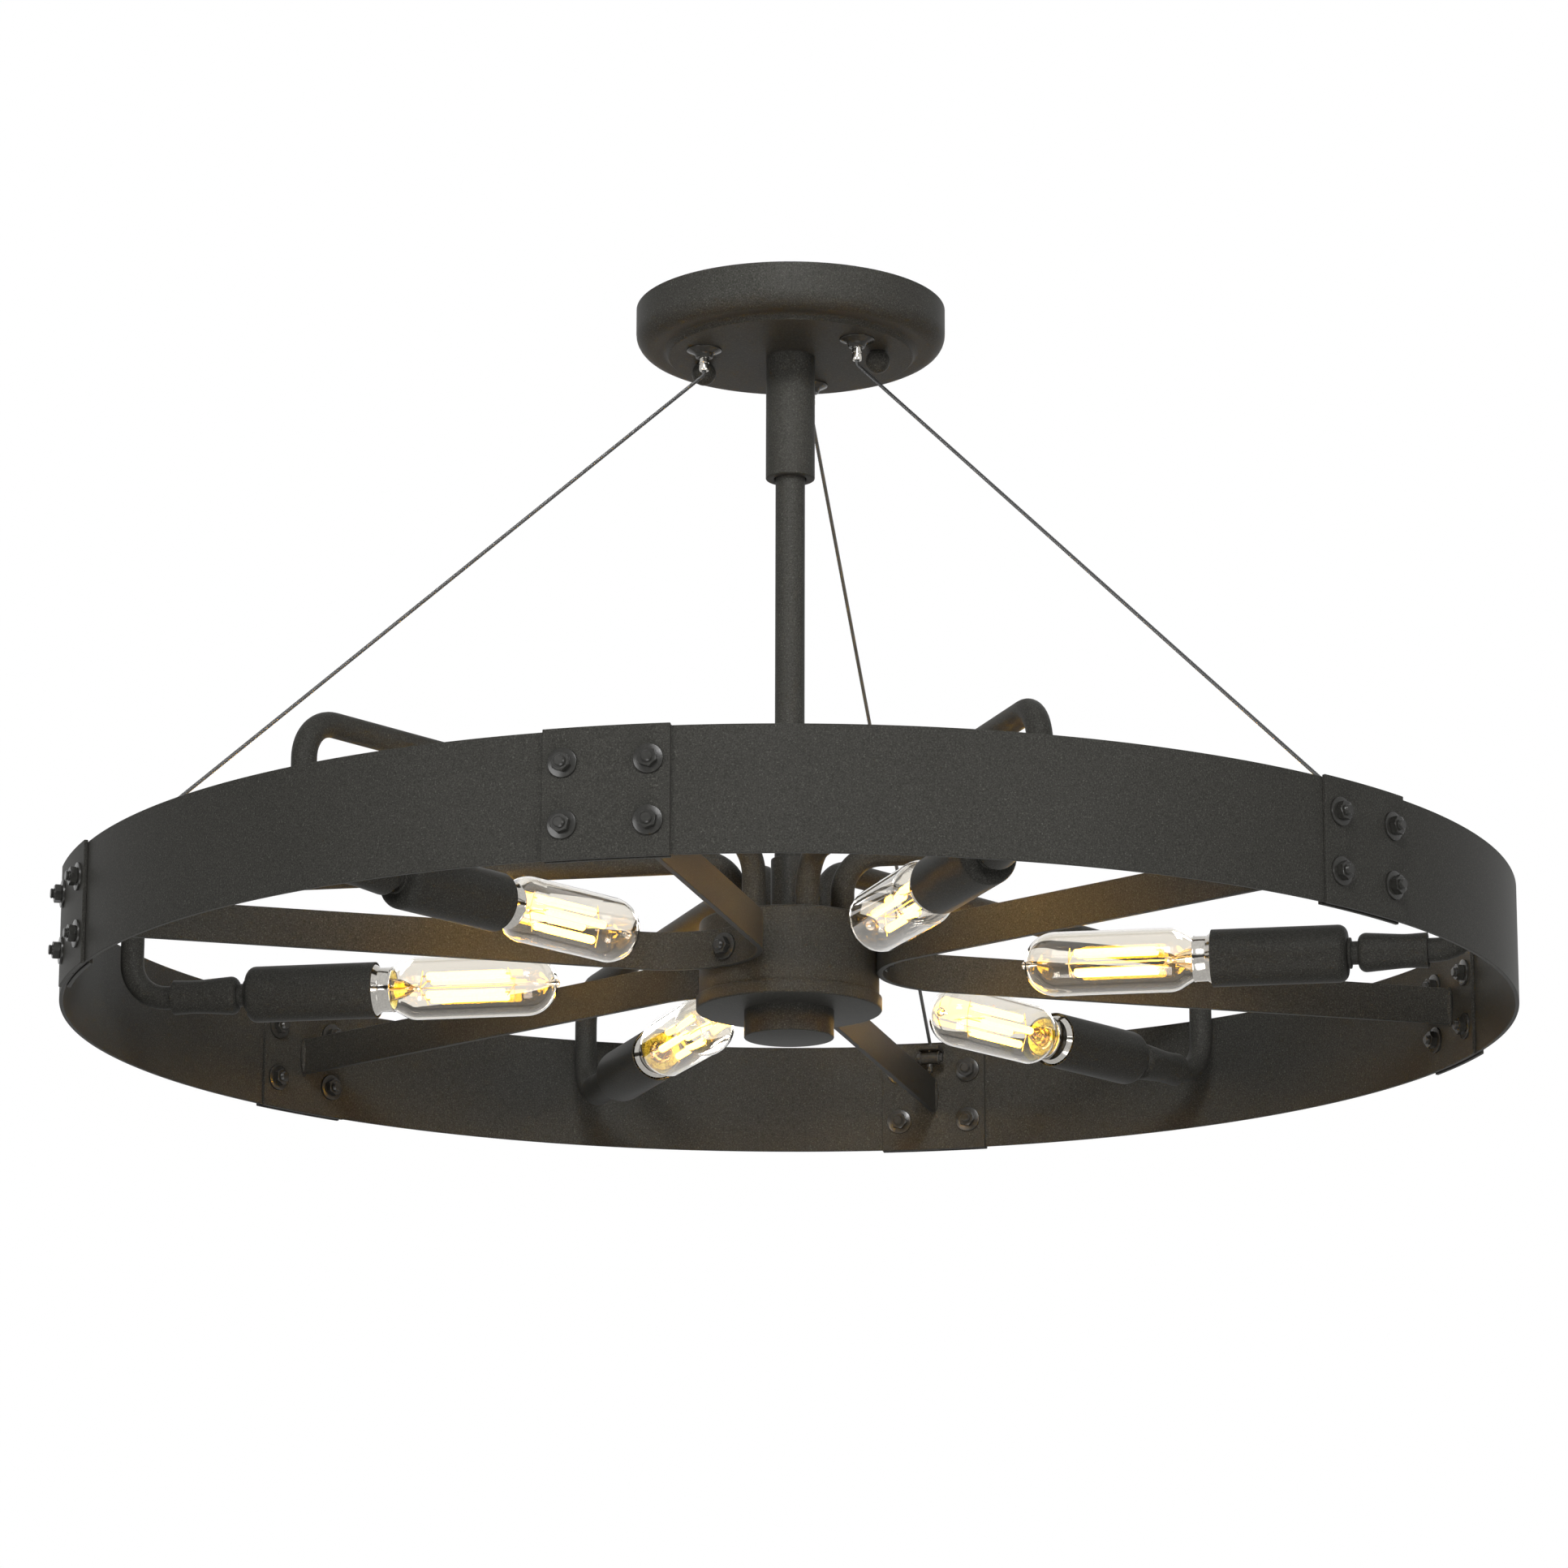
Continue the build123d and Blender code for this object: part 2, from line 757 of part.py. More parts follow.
def spoke():
    """One flat strip on edge: from an inner plate in to the hub, round its bend and out to the next plate."""
    middle_r = hub_r + seat_gap + spoke_thickness / 2
    bend_r = middle_r
    centre = Vector(middle_r + bend_r, 0)
    half = spoke_thickness / 2
    outer = []
    inner = []
    for side in (-1, 1):
        end = spoke_end(side)
        reach = end - centre
        tangent_angle = atan2(reach.Y, reach.X) + side * acos(bend_r / reach.length)
        normal = Vector(cos(tangent_angle), sin(tangent_angle))
        outer.append((end + normal * half, centre + normal * (bend_r + half)))
        inner.append((end - normal * half, centre + normal * (bend_r - half)))
    outer_apex = centre - Vector(bend_r + half, 0)
    inner_apex = centre - Vector(bend_r - half, 0)
    outline = [
        Line(outer[0][0], outer[0][1]),
        ThreePointArc(outer[0][1], outer_apex, outer[1][1]),
        Line(outer[1][1], outer[1][0]),
        Line(outer[1][0], inner[1][0]),
        Line(inner[1][0], inner[1][1]),
        ThreePointArc(inner[1][1], inner_apex, inner[0][1]),
        Line(inner[0][1], inner[0][0]),
        Line(inner[0][0], outer[0][0]),
    ]
    strip = Pos(0, 0, rim_centre_z - spoke_height / 2) * extrude(make_face(outline), spoke_height)
    bolt_hole = post(bolt_r + seat_gap, hub_r - 1, hub_r + 2 * spoke_thickness)
    strip -= outwards(bolt_hole, rim_centre_z)
    for side in (-1, 1):
        strip += weld_bead(side)
    return strip


def weld_bead(side):
    """The fillet of weld round a leg's end, against the curve of the inner plate."""
    angle = side * 180 / joint_count - hub_turn
    bead = extrude(SlotOverall(weld_height, weld_width, rotation=90), weld_depth)
    bead = Pos(plate_inner_r - weld_depth - seat_gap, 0, rim_centre_z) * Rot(0, 90, 0) * Rot(0, 0, 90) * bead
    bead &= post(plate_inner_r - seat_gap / 2, rim_centre_z - weld_height, rim_centre_z + weld_height)
    return about_stem(angle, bead)


def spoke_bolt():
    """The bolt that clamps a spoke's bend to the hub, its round head inside the hub."""
    bend_inner_r = hub_r + seat_gap
    washer_stand_off = bend_inner_r - sqrt(bend_inner_r ** 2 - washer_r ** 2)
    head_top = sqrt((hub_r - hub_wall) ** 2 - spoke_bolt_head_r ** 2) - seat_gap
    seat = hub_r + seat_gap + spoke_thickness + washer_stand_off + seat_gap
    nut_top = seat + washer_thickness + nut_thickness
    corners = [
        (0, head_top - spoke_bolt_head),
        (spoke_bolt_head_r, head_top - spoke_bolt_head),
        (spoke_bolt_head_r, head_top),
        (bolt_r, head_top),
        (bolt_r, seat),
        (washer_r, seat),
        (washer_r, seat + washer_thickness),
        (bolt_r, seat + washer_thickness),
        (bolt_r, nut_top + bolt_end - bolt_end_edge),
        (bolt_r - bolt_end_edge, nut_top + bolt_end),
        (0, nut_top + bolt_end),
    ]
    nut = Pos(0, 0, seat + washer_thickness) * hex_prism(nut_across_flats, nut_thickness)
    return outwards(turned(corners) + nut, rim_centre_z)


# Suspension cables

def cable_cone():
    """The anchor's cone under the canopy, with its shank through the canopy and a bore for the nozzle."""
    bore = nozzle_r + round_gap
    flange_bore = nozzle_flange_r + round_gap
    shank_top = face_z + cone_shank_height
    corners = [
        (bore, face_z - cone_height),
        (cone_foot_r, face_z - cone_height),
        (cone_r, face_z - cone_lip),
        (cone_r, face_z),
        (cone_shank_r, face_z),
        (cone_shank_r, shank_top),
        (flange_bore, shank_top),
        (flange_bore, nozzle_ledge_z),
        (bore, nozzle_ledge_z),
    ]
    return Pos(anchor_r, 0, 0) * turned(corners)


def cable_nozzle():
    """The release nozzle, which is pushed up into its cone to let the cable slide."""
    flange_top = nozzle_ledge_z + nozzle_flange
    corners = [
        (nozzle_bore_r, nozzle_foot_z),
        (nozzle_r, nozzle_foot_z),
        (nozzle_r, nozzle_ledge_z),
        (nozzle_flange_r, nozzle_ledge_z),
        (nozzle_flange_r, flange_top),
        (nozzle_bore_r, flange_top),
    ]
    return Pos(anchor_r, 0, 0) * turned(corners, [0, nozzle_edge, 0, 0, 0, 0])


def cable():
    """The taut wire rope: down through the nozzle, out to the rim, and down through the tab and the lock."""
    lean = cable_bend_r / 2
    path = FilletPolyline(
        (anchor_r, 0, face_z + cone_shank_height - cone_lip),
        (anchor_r, 0, nozzle_foot_z - lean),
        (cable_drop_r, 0, tab_top_z + lean),
        (cable_drop_r, 0, ferrule_foot_z),
        radius=cable_bend_r,
    )
    return sweep(Plane(origin=path @ 0, z_dir=path % 0) * Circle(cable_r), path=path)


def cable_lock():
    """The barrel under the tab, with a flange and a clamp screw at each end and a hole for the cable."""
    half = lock_length / 2 - lock_flange
    corners = [
        (0, -half - lock_flange - lock_screw_head),
        (lock_screw_r, -half - lock_flange - lock_screw_head),
        (lock_screw_r, -half - lock_flange),
        (lock_flange_r, -half - lock_flange),
        (lock_flange_r, -half),
        (lock_r, -half),
        (lock_r, half),
        (lock_flange_r, half),
        (lock_flange_r, half + lock_flange),
        (lock_screw_r, half + lock_flange),
        (lock_screw_r, half + lock_flange + lock_screw_head),
        (0, half + lock_flange + lock_screw_head),
    ]
    radii = [0, lock_screw_head / 2, 0, 0, 0, 0, 0, 0, 0, 0, lock_screw_head / 2, 0]
    barrel = Pos(cable_drop_r, 0, lock_z) * Rot(90, 0, 0) * turned(corners, radii)
    return barrel - Pos(cable_drop_r, 0, 0) * post(cable_r + seat_gap, lock_z - lock_r - 1, lock_z + lock_r + 1)


def cable_ferrule():
    """The crimped sleeve on the cable's end, under the lock."""
    top = ferrule_foot_z + ferrule_length
    corners = [
        (cable_r + seat_gap, ferrule_foot_z),
        (ferrule_r, ferrule_foot_z),
        (ferrule_r, top),
        (cable_r + seat_gap, top),
    ]
    edge = (ferrule_r - cable_r) / 3
    return Pos(cable_drop_r, 0, 0) * turned(corners, [0, edge, edge, 0])


# Nodes

def around(angles, shape):
    """A copy of one piece at each angle about the stem."""
    return [about_stem(angle, shape) for angle in angles]


def save_each(name, angles, shape):
    """Writes one numbered node for each place of a piece about the stem."""
    for number, angle in enumerate(angles, start=1):
        save(f"{name}_{number}", about_stem(angle, shape))


os.makedirs("parts", exist_ok=True)

save("canopy", canopy())
save("mounting_strap", mounting_strap())
save("strap_studs", *strap_studs())
for side, name in ((1, "ball_nut_right"), (-1, "ball_nut_left")):
    save(name, Pos(side * ball_nut_spacing / 2, 0, face_z) * ball_nut())

save("stem_sleeve", stem_sleeve())
save("stem_rod", stem_rod())
save("hub_collar", hub_collar())
save("hub_body", hub_body())
save("hub_lid", hub_lid())
save("finial", finial())
save("threaded_nipples", *stem_nipples(), *around(arm_angles, socket_nipple()))
save("locknuts", *stem_locknuts(), *around(arm_angles, arm_locknut()))

save_each("arm", arm_angles, arm())
save("socket_couplers", *around(arm_angles, socket_coupler()))
save_each("socket_sleeve", arm_angles, socket_sleeve())
save("lampholders", *around(arm_angles, lampholder()))
glass = bulb_glass()
base = bulb_cap() + bulb_mount()
for number, angle in enumerate(arm_angles, start=1):
    save(f"bulb_glass_{number}", about_stem(angle, glass))
    save(f"bulb_base_{number}", about_stem(angle, base))

half_joint = 180 / joint_count
save_each("band_segment", [angle + half_joint for angle in joint_angles], band_segment())
save("outer_plates", *around(joint_angles, outer_plate()))
save("inner_plates", *[about_stem(angle, inner_plate(angle in cable_angles)) for angle in joint_angles])
save("rim_bolts", *rim_bolts())

save_each("spoke", spoke_angles, spoke())
save("spoke_bolts", *around(spoke_angles, spoke_bolt()))

save("cable_cones", *around(cable_angles, cable_cone()))
save_each("cable_nozzle", cable_angles, cable_nozzle())
save_each("cable", cable_angles, cable())
save("cable_locks", *around(cable_angles, cable_lock()), *around(cable_angles, cable_ferrule()))
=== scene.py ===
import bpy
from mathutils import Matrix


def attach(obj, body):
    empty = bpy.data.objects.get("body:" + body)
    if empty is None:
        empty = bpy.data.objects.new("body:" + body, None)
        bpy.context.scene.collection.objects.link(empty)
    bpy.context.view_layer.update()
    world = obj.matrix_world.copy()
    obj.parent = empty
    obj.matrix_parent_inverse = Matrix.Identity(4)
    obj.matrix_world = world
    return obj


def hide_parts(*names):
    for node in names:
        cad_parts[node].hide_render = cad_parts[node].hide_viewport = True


bl_info = {
    "name": "Wheel ceiling light",
    "version": (1, 0, 0),
    "blender": (4, 5, 0),
    "location": "3D View > Sidebar > Ceiling light",
    "description": "Builds a semi-flush ceiling light: a wheel rim on spokes and cables with six lamps",
    "category": "Add Mesh",
}

from math import acos, asin, atan2, cos, degrees, pi, radians, sin, tan

import bpy
from mathutils import Matrix, Vector

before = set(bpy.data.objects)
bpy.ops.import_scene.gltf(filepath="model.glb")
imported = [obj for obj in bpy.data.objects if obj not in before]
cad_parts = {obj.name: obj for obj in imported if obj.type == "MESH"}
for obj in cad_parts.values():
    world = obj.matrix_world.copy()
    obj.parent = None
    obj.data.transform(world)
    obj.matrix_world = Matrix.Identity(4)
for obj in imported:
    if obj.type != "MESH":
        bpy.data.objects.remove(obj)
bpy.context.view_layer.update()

MM = 0.001
JOINT_ANGLES = [60 * k - 90 for k in range(6)]
CABLE_ANGLES = [90, 210, 330]

# Places that several pieces share, in millimetres from the stem's axis or below the ceiling
THREAD_BORE = 4.9
HUB_TOP = -321.5
HUB_FOOT = -359.6
LID_FACE = -366.3
CABLE_TOP_R = 46
CABLE_FOOT_R = 347.5

# Bolts, in millimetres, with their heights from the face that the washer lies on
BOLT_R = 2.5
WASHER_R = 6.8
WASHER_TOP = 1.2
NUT_TOP = 4.6
BOLT_TIP = 6.4
NUT_FLATS = 8

# What makes the main shader glass
CLEAR = {"Transmission Weight": 1, "IOR": 1.46}

# How far the run of each arm is raised, in millimetres, and how far each lamp is screwed round, in degrees
RUN_LIFTS = (0, 0, 0, 0, 5, -4)
LAMP_ROLLS = (8, 50, 20, 3, 41, 46)


# Sizes and finishes that a user would change

def length(name, description, millimetres):
    return bpy.props.FloatProperty(
        name=name, description=description, default=millimetres * MM, subtype="DISTANCE", unit="LENGTH",
        precision=5)


def colour(name, description, default):
    return bpy.props.FloatVectorProperty(
        name=name, description=description, default=default, subtype="COLOR", size=3, min=0, max=1)


class CeilingLightSizes(bpy.types.PropertyGroup):
    """The main sizes of the ceiling light"""

    canopy_radius: length("Canopy radius", "Radius of the pan against the ceiling", 79)
    canopy_depth: length("Canopy depth", "From the ceiling to the canopy's flat face", 25)
    sleeve_radius: length("Sleeve radius", "Radius of the thick tube under the canopy", 12.5)
    rod_radius: length("Rod radius", "Radius of the thin stem rod", 7.5)
    hub_radius: length("Hub radius", "Radius of the hub's cup", 45)
    rim_radius: length("Rim radius", "Outer radius of the wheel's band", 361)
    rim_height: length("Rim height", "Height of the wheel's band", 58.7)
    rim_thickness: length("Rim thickness", "Thickness of the band and its plates", 2)
    rim_level: length("Rim level", "Height of the band's middle, below the ceiling", -341.2)
    spoke_height: length("Spoke height", "Height of the flat strip on edge", 19)
    arm_radius: length("Arm radius", "Radius of the arms' tube", 6)
    arm_bend: length("Arm bend", "Radius of the bends along the middle of the tube", 19)
    lamp_level: length("Lamp level", "Height of the lamps' axes, below the ceiling", -347.5)
    glass_radius: length("Glass radius", "Radius of the lamps' glass", 16)
    cable_radius: length("Cable radius", "Radius of the wire cables", 1)
    hub_turn: bpy.props.FloatProperty(
        name="Hub turn", description="Turn of the hub with its arms against the rim's joints",
        default=radians(2.2), subtype="ANGLE")


class CeilingLightFinishes(bpy.types.PropertyGroup):
    """The colours and finishes of the ceiling light"""

    paint: colour("Paint", "Colour of the powder coat", (0.038, 0.037, 0.033))
    paint_roughness: bpy.props.FloatProperty(
        name="Paint roughness", description="Roughness of the powder coat", default=0.46,
        subtype="FACTOR", min=0, max=1)
    nickel: colour("Nickel", "Colour of the plated metal", (0.52, 0.50, 0.46))
    glass: colour("Glass", "Colour of the lamps' glass", (0.90, 0.87, 0.815))
    glow: colour("Glow", "Colour of the lit filaments", (1.0, 0.50, 0.045))
    glow_strength: bpy.props.FloatProperty(
        name="Glow strength", description="Brightness of the lit filaments", default=52, min=0)


def sizes():
    return bpy.context.scene.ceiling_light_sizes


def finishes():
    return bpy.context.scene.ceiling_light_finishes


def mm(value):
    """A length of the property groups, in millimetres."""
    return value / MM


# Modelling by hand

def select_only(*objects):
    bpy.ops.object.select_all(action="DESELECT")
    for obj in objects:
        obj.select_set(True)
    bpy.context.view_layer.objects.active = objects[0]


def single_vertex(name):
    """A new mesh in edit mode, with one selected vertex at the origin."""
    bpy.ops.mesh.primitive_plane_add(size=1)
    obj = bpy.context.object
    obj.name = name
    obj.data.name = name
    bpy.ops.object.mode_set(mode="EDIT")
    bpy.ops.mesh.select_mode(type="VERT")
    bpy.ops.mesh.select_all(action="SELECT")
    bpy.ops.mesh.merge(type="CENTER")
    return obj


def extrude(vector):
    bpy.ops.mesh.extrude_region_move(TRANSFORM_OT_translate={"value": vector})


def draw_line(points):
    """Moves the single vertex to the first point and extrudes it through the others."""
    bpy.ops.transform.translate(value=points[0])
    for before, after in zip(points, points[1:]):
        extrude(after - before)


def merge_all(threshold):
    """Merges what lies closer than the threshold, and leaves everything selected."""
    bpy.ops.mesh.select_all(action="SELECT")
    bpy.ops.mesh.remove_doubles(threshold=threshold)
    bpy.ops.mesh.select_all(action="SELECT")


def close_up(obj, angle=30):
    """Merges the seam, turns the faces outwards, and smooths all but the sharp edges."""
    merge_all(1e-6)
    bpy.ops.mesh.normals_make_consistent(inside=False)
    bpy.ops.object.mode_set(mode="OBJECT")
    return smooth(obj, angle)


def rounded(corners, steps=4):
    """Corners as (radius, height, fillet) in millimetres, drawn as points in metres with their fillets."""
    points = []
    for index, corner in enumerate(corners):
        here = Vector(corner[:2])
        fillet = corner[2] if len(corner) > 2 else 0
        if not fillet or index in (0, len(corners) - 1):
            points.append(here * MM)
            continue
        back = (Vector(corners[index - 1][:2]) - here).normalized()
        ahead = (Vector(corners[index + 1][:2]) - here).normalized()
        half = back.angle(ahead) / 2
        centre = here + (back + ahead).normalized() * fillet / sin(half)
        first = here + back * fillet / tan(half) - centre
        side = 1 if first.y * back.x - first.x * back.y > 0 else -1
        for step in range(steps + 1):
            angle = side * (pi - 2 * half) * step / steps
            points.append((centre + Matrix.Rotation(angle, 2) @ first) * MM)
    return points


def turned(name, corners, segments=64, closed=False, steps=4, angle=30):
    """A turned piece about Z. A closed outline stays clear of the axis, an open one starts and ends on it."""
    points = [Vector((p.x, 0, p.y)) for p in rounded(corners, steps)]
    if closed:
        points.append(points[0])
    obj = single_vertex(name)
    draw_line(points)
    bpy.ops.mesh.select_all(action="SELECT")
    bpy.ops.mesh.spin(steps=segments, angle=2 * pi, center=(0, 0, 0), axis=(0, 0, 1))
    return close_up(obj, angle)


def settle():
    """Puts the selected piece's place into its mesh."""
    bpy.ops.object.transform_apply(location=True, rotation=True, scale=True)


def place(obj, matrix):
    """Moves a piece and puts its place into its mesh."""
    select_only(obj)
    obj.matrix_world = matrix
    settle()
    return obj


def lay_outwards(obj, height):
    """Lays a turned piece along +X: its height becomes its distance from the stem, in millimetres."""
    return place(obj, Matrix.Translation((0, 0, height * MM)) @ Matrix.Rotation(pi / 2, 4, "Y"))


def copy_of(obj, name):
    select_only(obj)
    bpy.ops.object.duplicate(linked=False)
    twin = bpy.context.object
    twin.name = name
    twin.data.name = name
    return twin


def copies(obj, matrices):
    """Puts the piece in the first place and a copy of its own mesh in each of the others."""
    twins = [copy_of(obj, obj.name) for _ in matrices[1:]]
    return [place(piece, matrix) for piece, matrix in zip([obj] + twins, matrices)]


def around(angles):
    return [Matrix.Rotation(radians(angle), 4, "Z") for angle in angles]


def joined(name, objects):
    select_only(*objects)
    if len(objects) > 1:
        bpy.ops.object.join()
    obj = bpy.context.object
    obj.name = name
    obj.data.name = name
    return obj


def apply_modifier(obj, kind, **settings):
    select_only(obj)
    modifier = obj.modifiers.new(kind.title(), kind)
    for key, value in settings.items():
        setattr(modifier, key, value)
    bpy.ops.object.modifier_apply(modifier=modifier.name)
    return obj


def smooth(obj, angle):
    select_only(obj)
    bpy.ops.object.shade_smooth_by_angle(angle=radians(angle))
    return obj


def soften(obj, width, angle=30):
    """Bevels the sharp edges a little, width in millimetres, and smooths the piece."""
    apply_modifier(
        obj, "BEVEL", width=width * MM, segments=2, limit_method="ANGLE", angle_limit=radians(40),
        harden_normals=False)
    return smooth(obj, angle)


def flat_piece(name, outline):
    """A single face from an outline of points, in edit mode, with everything selected."""
    obj = single_vertex(name)
    draw_line(outline + [outline[0]])
    merge_all(1e-7)
    bpy.ops.mesh.edge_face_add()
    return obj


def dress(obj, material, body, slot, *nodes):
    """Gives a finished piece its material and its body, and hides the CAD nodes that it stands for. The slot
    argument is not used.
    """
    obj.data.materials.clear()
    obj.data.materials.append(material)
    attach(obj, body)
    if nodes:
        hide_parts(*nodes)
    return obj


def painted(obj, node, material=None):
    """Dresses a piece of the fixture in powder coat, or in another black paint."""
    return dress(obj, material or paint(), "fixture", "black_paint", node)


def hidden_metal(node, material):
    """Gives a hidden CAD node its metal."""
    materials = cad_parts[node].data.materials
    materials.clear()
    materials.append(material)


def numbered(pieces, word):
    """Names the pieces word_1, word_2 and so on, and yields each with its number."""
    for number, piece in enumerate(pieces, 1):
        piece.name = f"{word}_{number}"
        yield number, piece


def arm_places():
    return around([60 * k + degrees(sizes().hub_turn) for k in range(6)])


# Materials

def new_material(name):
    """A node material with its nodes, links and main shader."""
    material = bpy.data.materials.new(name)
    material.use_nodes = True
    nodes = material.node_tree.nodes
    return material, nodes, material.node_tree.links, nodes["Principled BSDF"]


def put(node, values):
    """Sets the values of a node's sockets."""
    for socket, value in values.items():
        node.inputs[socket].default_value = value


def object_noise(nodes, links, scale, detail=2, roughness=0.5, distortion=0):
    """Noise on the piece's own coordinates, which are metres."""
    coordinates = nodes.new("ShaderNodeTexCoord")
    noise = nodes.new("ShaderNodeTexNoise")
    put(noise, {"Scale": scale, "Detail": detail, "Roughness": roughness, "Distortion": distortion})
    links.new(coordinates.outputs["Object"], noise.inputs["Vector"])
    return noise.outputs["Fac"]


def ramp(nodes, links, factor, stops):
    node = nodes.new("ShaderNodeValToRGB")
    elements = node.color_ramp.elements
    while len(elements) < len(stops):
        elements.new(0.5)
    for element, (position, colour) in zip(elements, stops):
        element.position = position
        element.color = colour if len(colour) == 4 else (*colour, 1)
    links.new(factor, node.inputs["Fac"])
    return node


def tone_between(nodes, links, factor, low, high, shader, sockets=("Base Color",)):
    """Feeds the shader's sockets with colours between two tones."""
    tone = ramp(nodes, links, factor, [(0.3, low), (0.7, high)])
    for socket in sockets:
        links.new(tone.outputs["Color"], shader.inputs[socket])


def shade(colour, factor):
    return tuple(min(1, channel * factor) for channel in colour)


def rough_between(nodes, links, factor, low, high, shader):
    spread = nodes.new("ShaderNodeMapRange")
    put(spread, {"To Min": low, "To Max": high})
    links.new(factor, spread.inputs["Value"])
    links.new(spread.outputs["Result"], shader.inputs["Roughness"])


def add_bump(nodes, links, height, shader, strength, distance):
    bump = nodes.new("ShaderNodeBump")
    put(bump, {"Strength": strength, "Distance": distance * MM})
    links.new(height, bump.inputs["Height"])
    links.new(bump.outputs["Normal"], shader.inputs["Normal"])


def powder_coat():
    """Fine-textured matte black powder coat: a grain under a millimetre, pale specks and slow mottling."""
    material, nodes, links, shader = new_material("powder_coat")
    colour = tuple(finishes().paint)
    grain = object_noise(nodes, links, 1500, 2, 0.6)
    mottle = object_noise(nodes, links, 25, 2)
    coat = ramp(nodes, links, grain, [
        (0.30, shade(colour, 0.6)), (0.46, shade(colour, 0.9)), (0.58, shade(colour, 1.15)),
        (0.68, shade(colour, 1.6)), (0.78, shade(colour, 3.2))])
    blend = nodes.new("ShaderNodeMix")
    blend.data_type = "RGBA"
    blend.blend_type = "MULTIPLY"
    put(blend, {"Factor": 0.5})
    soft = ramp(nodes, links, mottle, [(0.3, (0.88, 0.88, 0.88)), (0.7, (1.0, 1.0, 1.0))])
    links.new(coat.outputs["Color"], blend.inputs["A"])
    links.new(soft.outputs["Color"], blend.inputs["B"])
    links.new(blend.outputs["Result"], shader.inputs["Base Color"])
    rough = finishes().paint_roughness
    rough_between(nodes, links, grain, rough - 0.08, rough + 0.12, shader)
    add_bump(nodes, links, grain, shader, 0.35, 0.12)
    put(shader, {"Specular IOR Level": 0.045})
    return material


def clouded(name, scale, tones, roughness, values, detail=2, bump=None):
    """A finish whose tone and gloss change a little over the piece, with a faint bump if one is given."""
    material, nodes, links, shader = new_material(name)
    put(shader, values)
    cloud = object_noise(nodes, links, scale, detail)
    tone_between(nodes, links, cloud, *tones, shader)
    rough_between(nodes, links, cloud, *roughness, shader)
    if bump:
        add_bump(nodes, links, cloud, shader, *bump)
    return material


def gloss_paint():
    """Smoother black enamel of the small turned fittings and the bolts."""
    black = shade(tuple(finishes().paint), 0.5)
    return clouded(
        "gloss_paint", 700, (black, shade(black, 1.4)), (0.18, 0.28), {"Specular IOR Level": 0.25},
        bump=(0.1, 0.05))


def plated_metal(name, tone, roughness):
    """Plated or bare metal with a faint polishing grain."""
    return clouded(
        name, 900, (shade(tone, 0.86), tone), (roughness * 0.7, roughness * 1.4), {"Metallic": 1},
        bump=(0.06, 0.03))


def wire_rope():
    """Dark oiled steel wire."""
    return clouded(
        "wire_rope", 1200, ((0.012, 0.012, 0.011), (0.03, 0.03, 0.028)), (0.35, 0.55),
        {"Specular IOR Level": 0.05})


def lamp_glass():
    """The lamps' clear glass."""
    tint = tuple(finishes().glass)
    return clouded("lamp_glass", 60, (tint, shade(tint, 0.985)), (0.0, 0.015), CLEAR, detail=1)


def stem_glass():
    """The drawn glass of the lamp's inner stem, a little amber from the lit filaments."""
    return clouded("stem_glass", 200, ((1.0, 0.84, 0.5), (1.0, 0.93, 0.74)), (0.02, 0.08), CLEAR)


def lit_filament():
    """Glowing filament, with small changes of brightness along it."""
    material, nodes, links, shader = new_material("lit_filament")
    flicker = object_noise(nodes, links, 900, 1)
    glow = tuple(finishes().glow)
    tone_between(
        nodes, links, flicker, glow, shade(glow, 1.15), shader, ("Emission Color", "Base Color"))
    put(shader, {"Emission Strength": finishes().glow_strength})
    return material


def painted_glow_lining():
    """The inside of a lamp's cap, rippled where the glass is sealed to it, painted gold with the lit
    filaments' glow and its rippled reflections.
    """
    material, nodes, links, shader = new_material("painted_glow_lining")
    put(shader, {"Metallic": 0.8})
    ripple_and_glow = object_noise(nodes, links, 420, 4, 0.6, 2.0)
    # Dark to bright gold: painted glow and reflections of the lit filaments
    tone = ramp(nodes, links, ripple_and_glow, [
        (0.35, (0.06, 0.06, 0.01)), (0.5, (0.34, 0.36, 0.05)), (0.68, (0.62, 0.66, 0.20))])
    links.new(tone.outputs["Color"], shader.inputs["Base Color"])
    rough_between(nodes, links, ripple_and_glow, 0.25, 0.45, shader)
    add_bump(nodes, links, ripple_and_glow, shader, 0.6, 0.4)
    return material


def material_of(name, maker, *values):
    """Makes a material once and finds it again by its name."""
    return bpy.data.materials.get(name) or maker(*values)


def paint():
    return material_of("powder_coat", powder_coat)


def enamel():
    return material_of("gloss_paint", gloss_paint)


def nickel():
    return material_of("nickel_plate", plated_metal, "nickel_plate", tuple(finishes().nickel), 0.12)


def zinc():
    return material_of("zinc_plate", plated_metal, "zinc_plate", (0.52, 0.53, 0.54), 0.34)


def brass():
    return material_of("brass_shell", plated_metal, "brass_shell", (0.74, 0.56, 0.26), 0.25)


# Canopy and stem

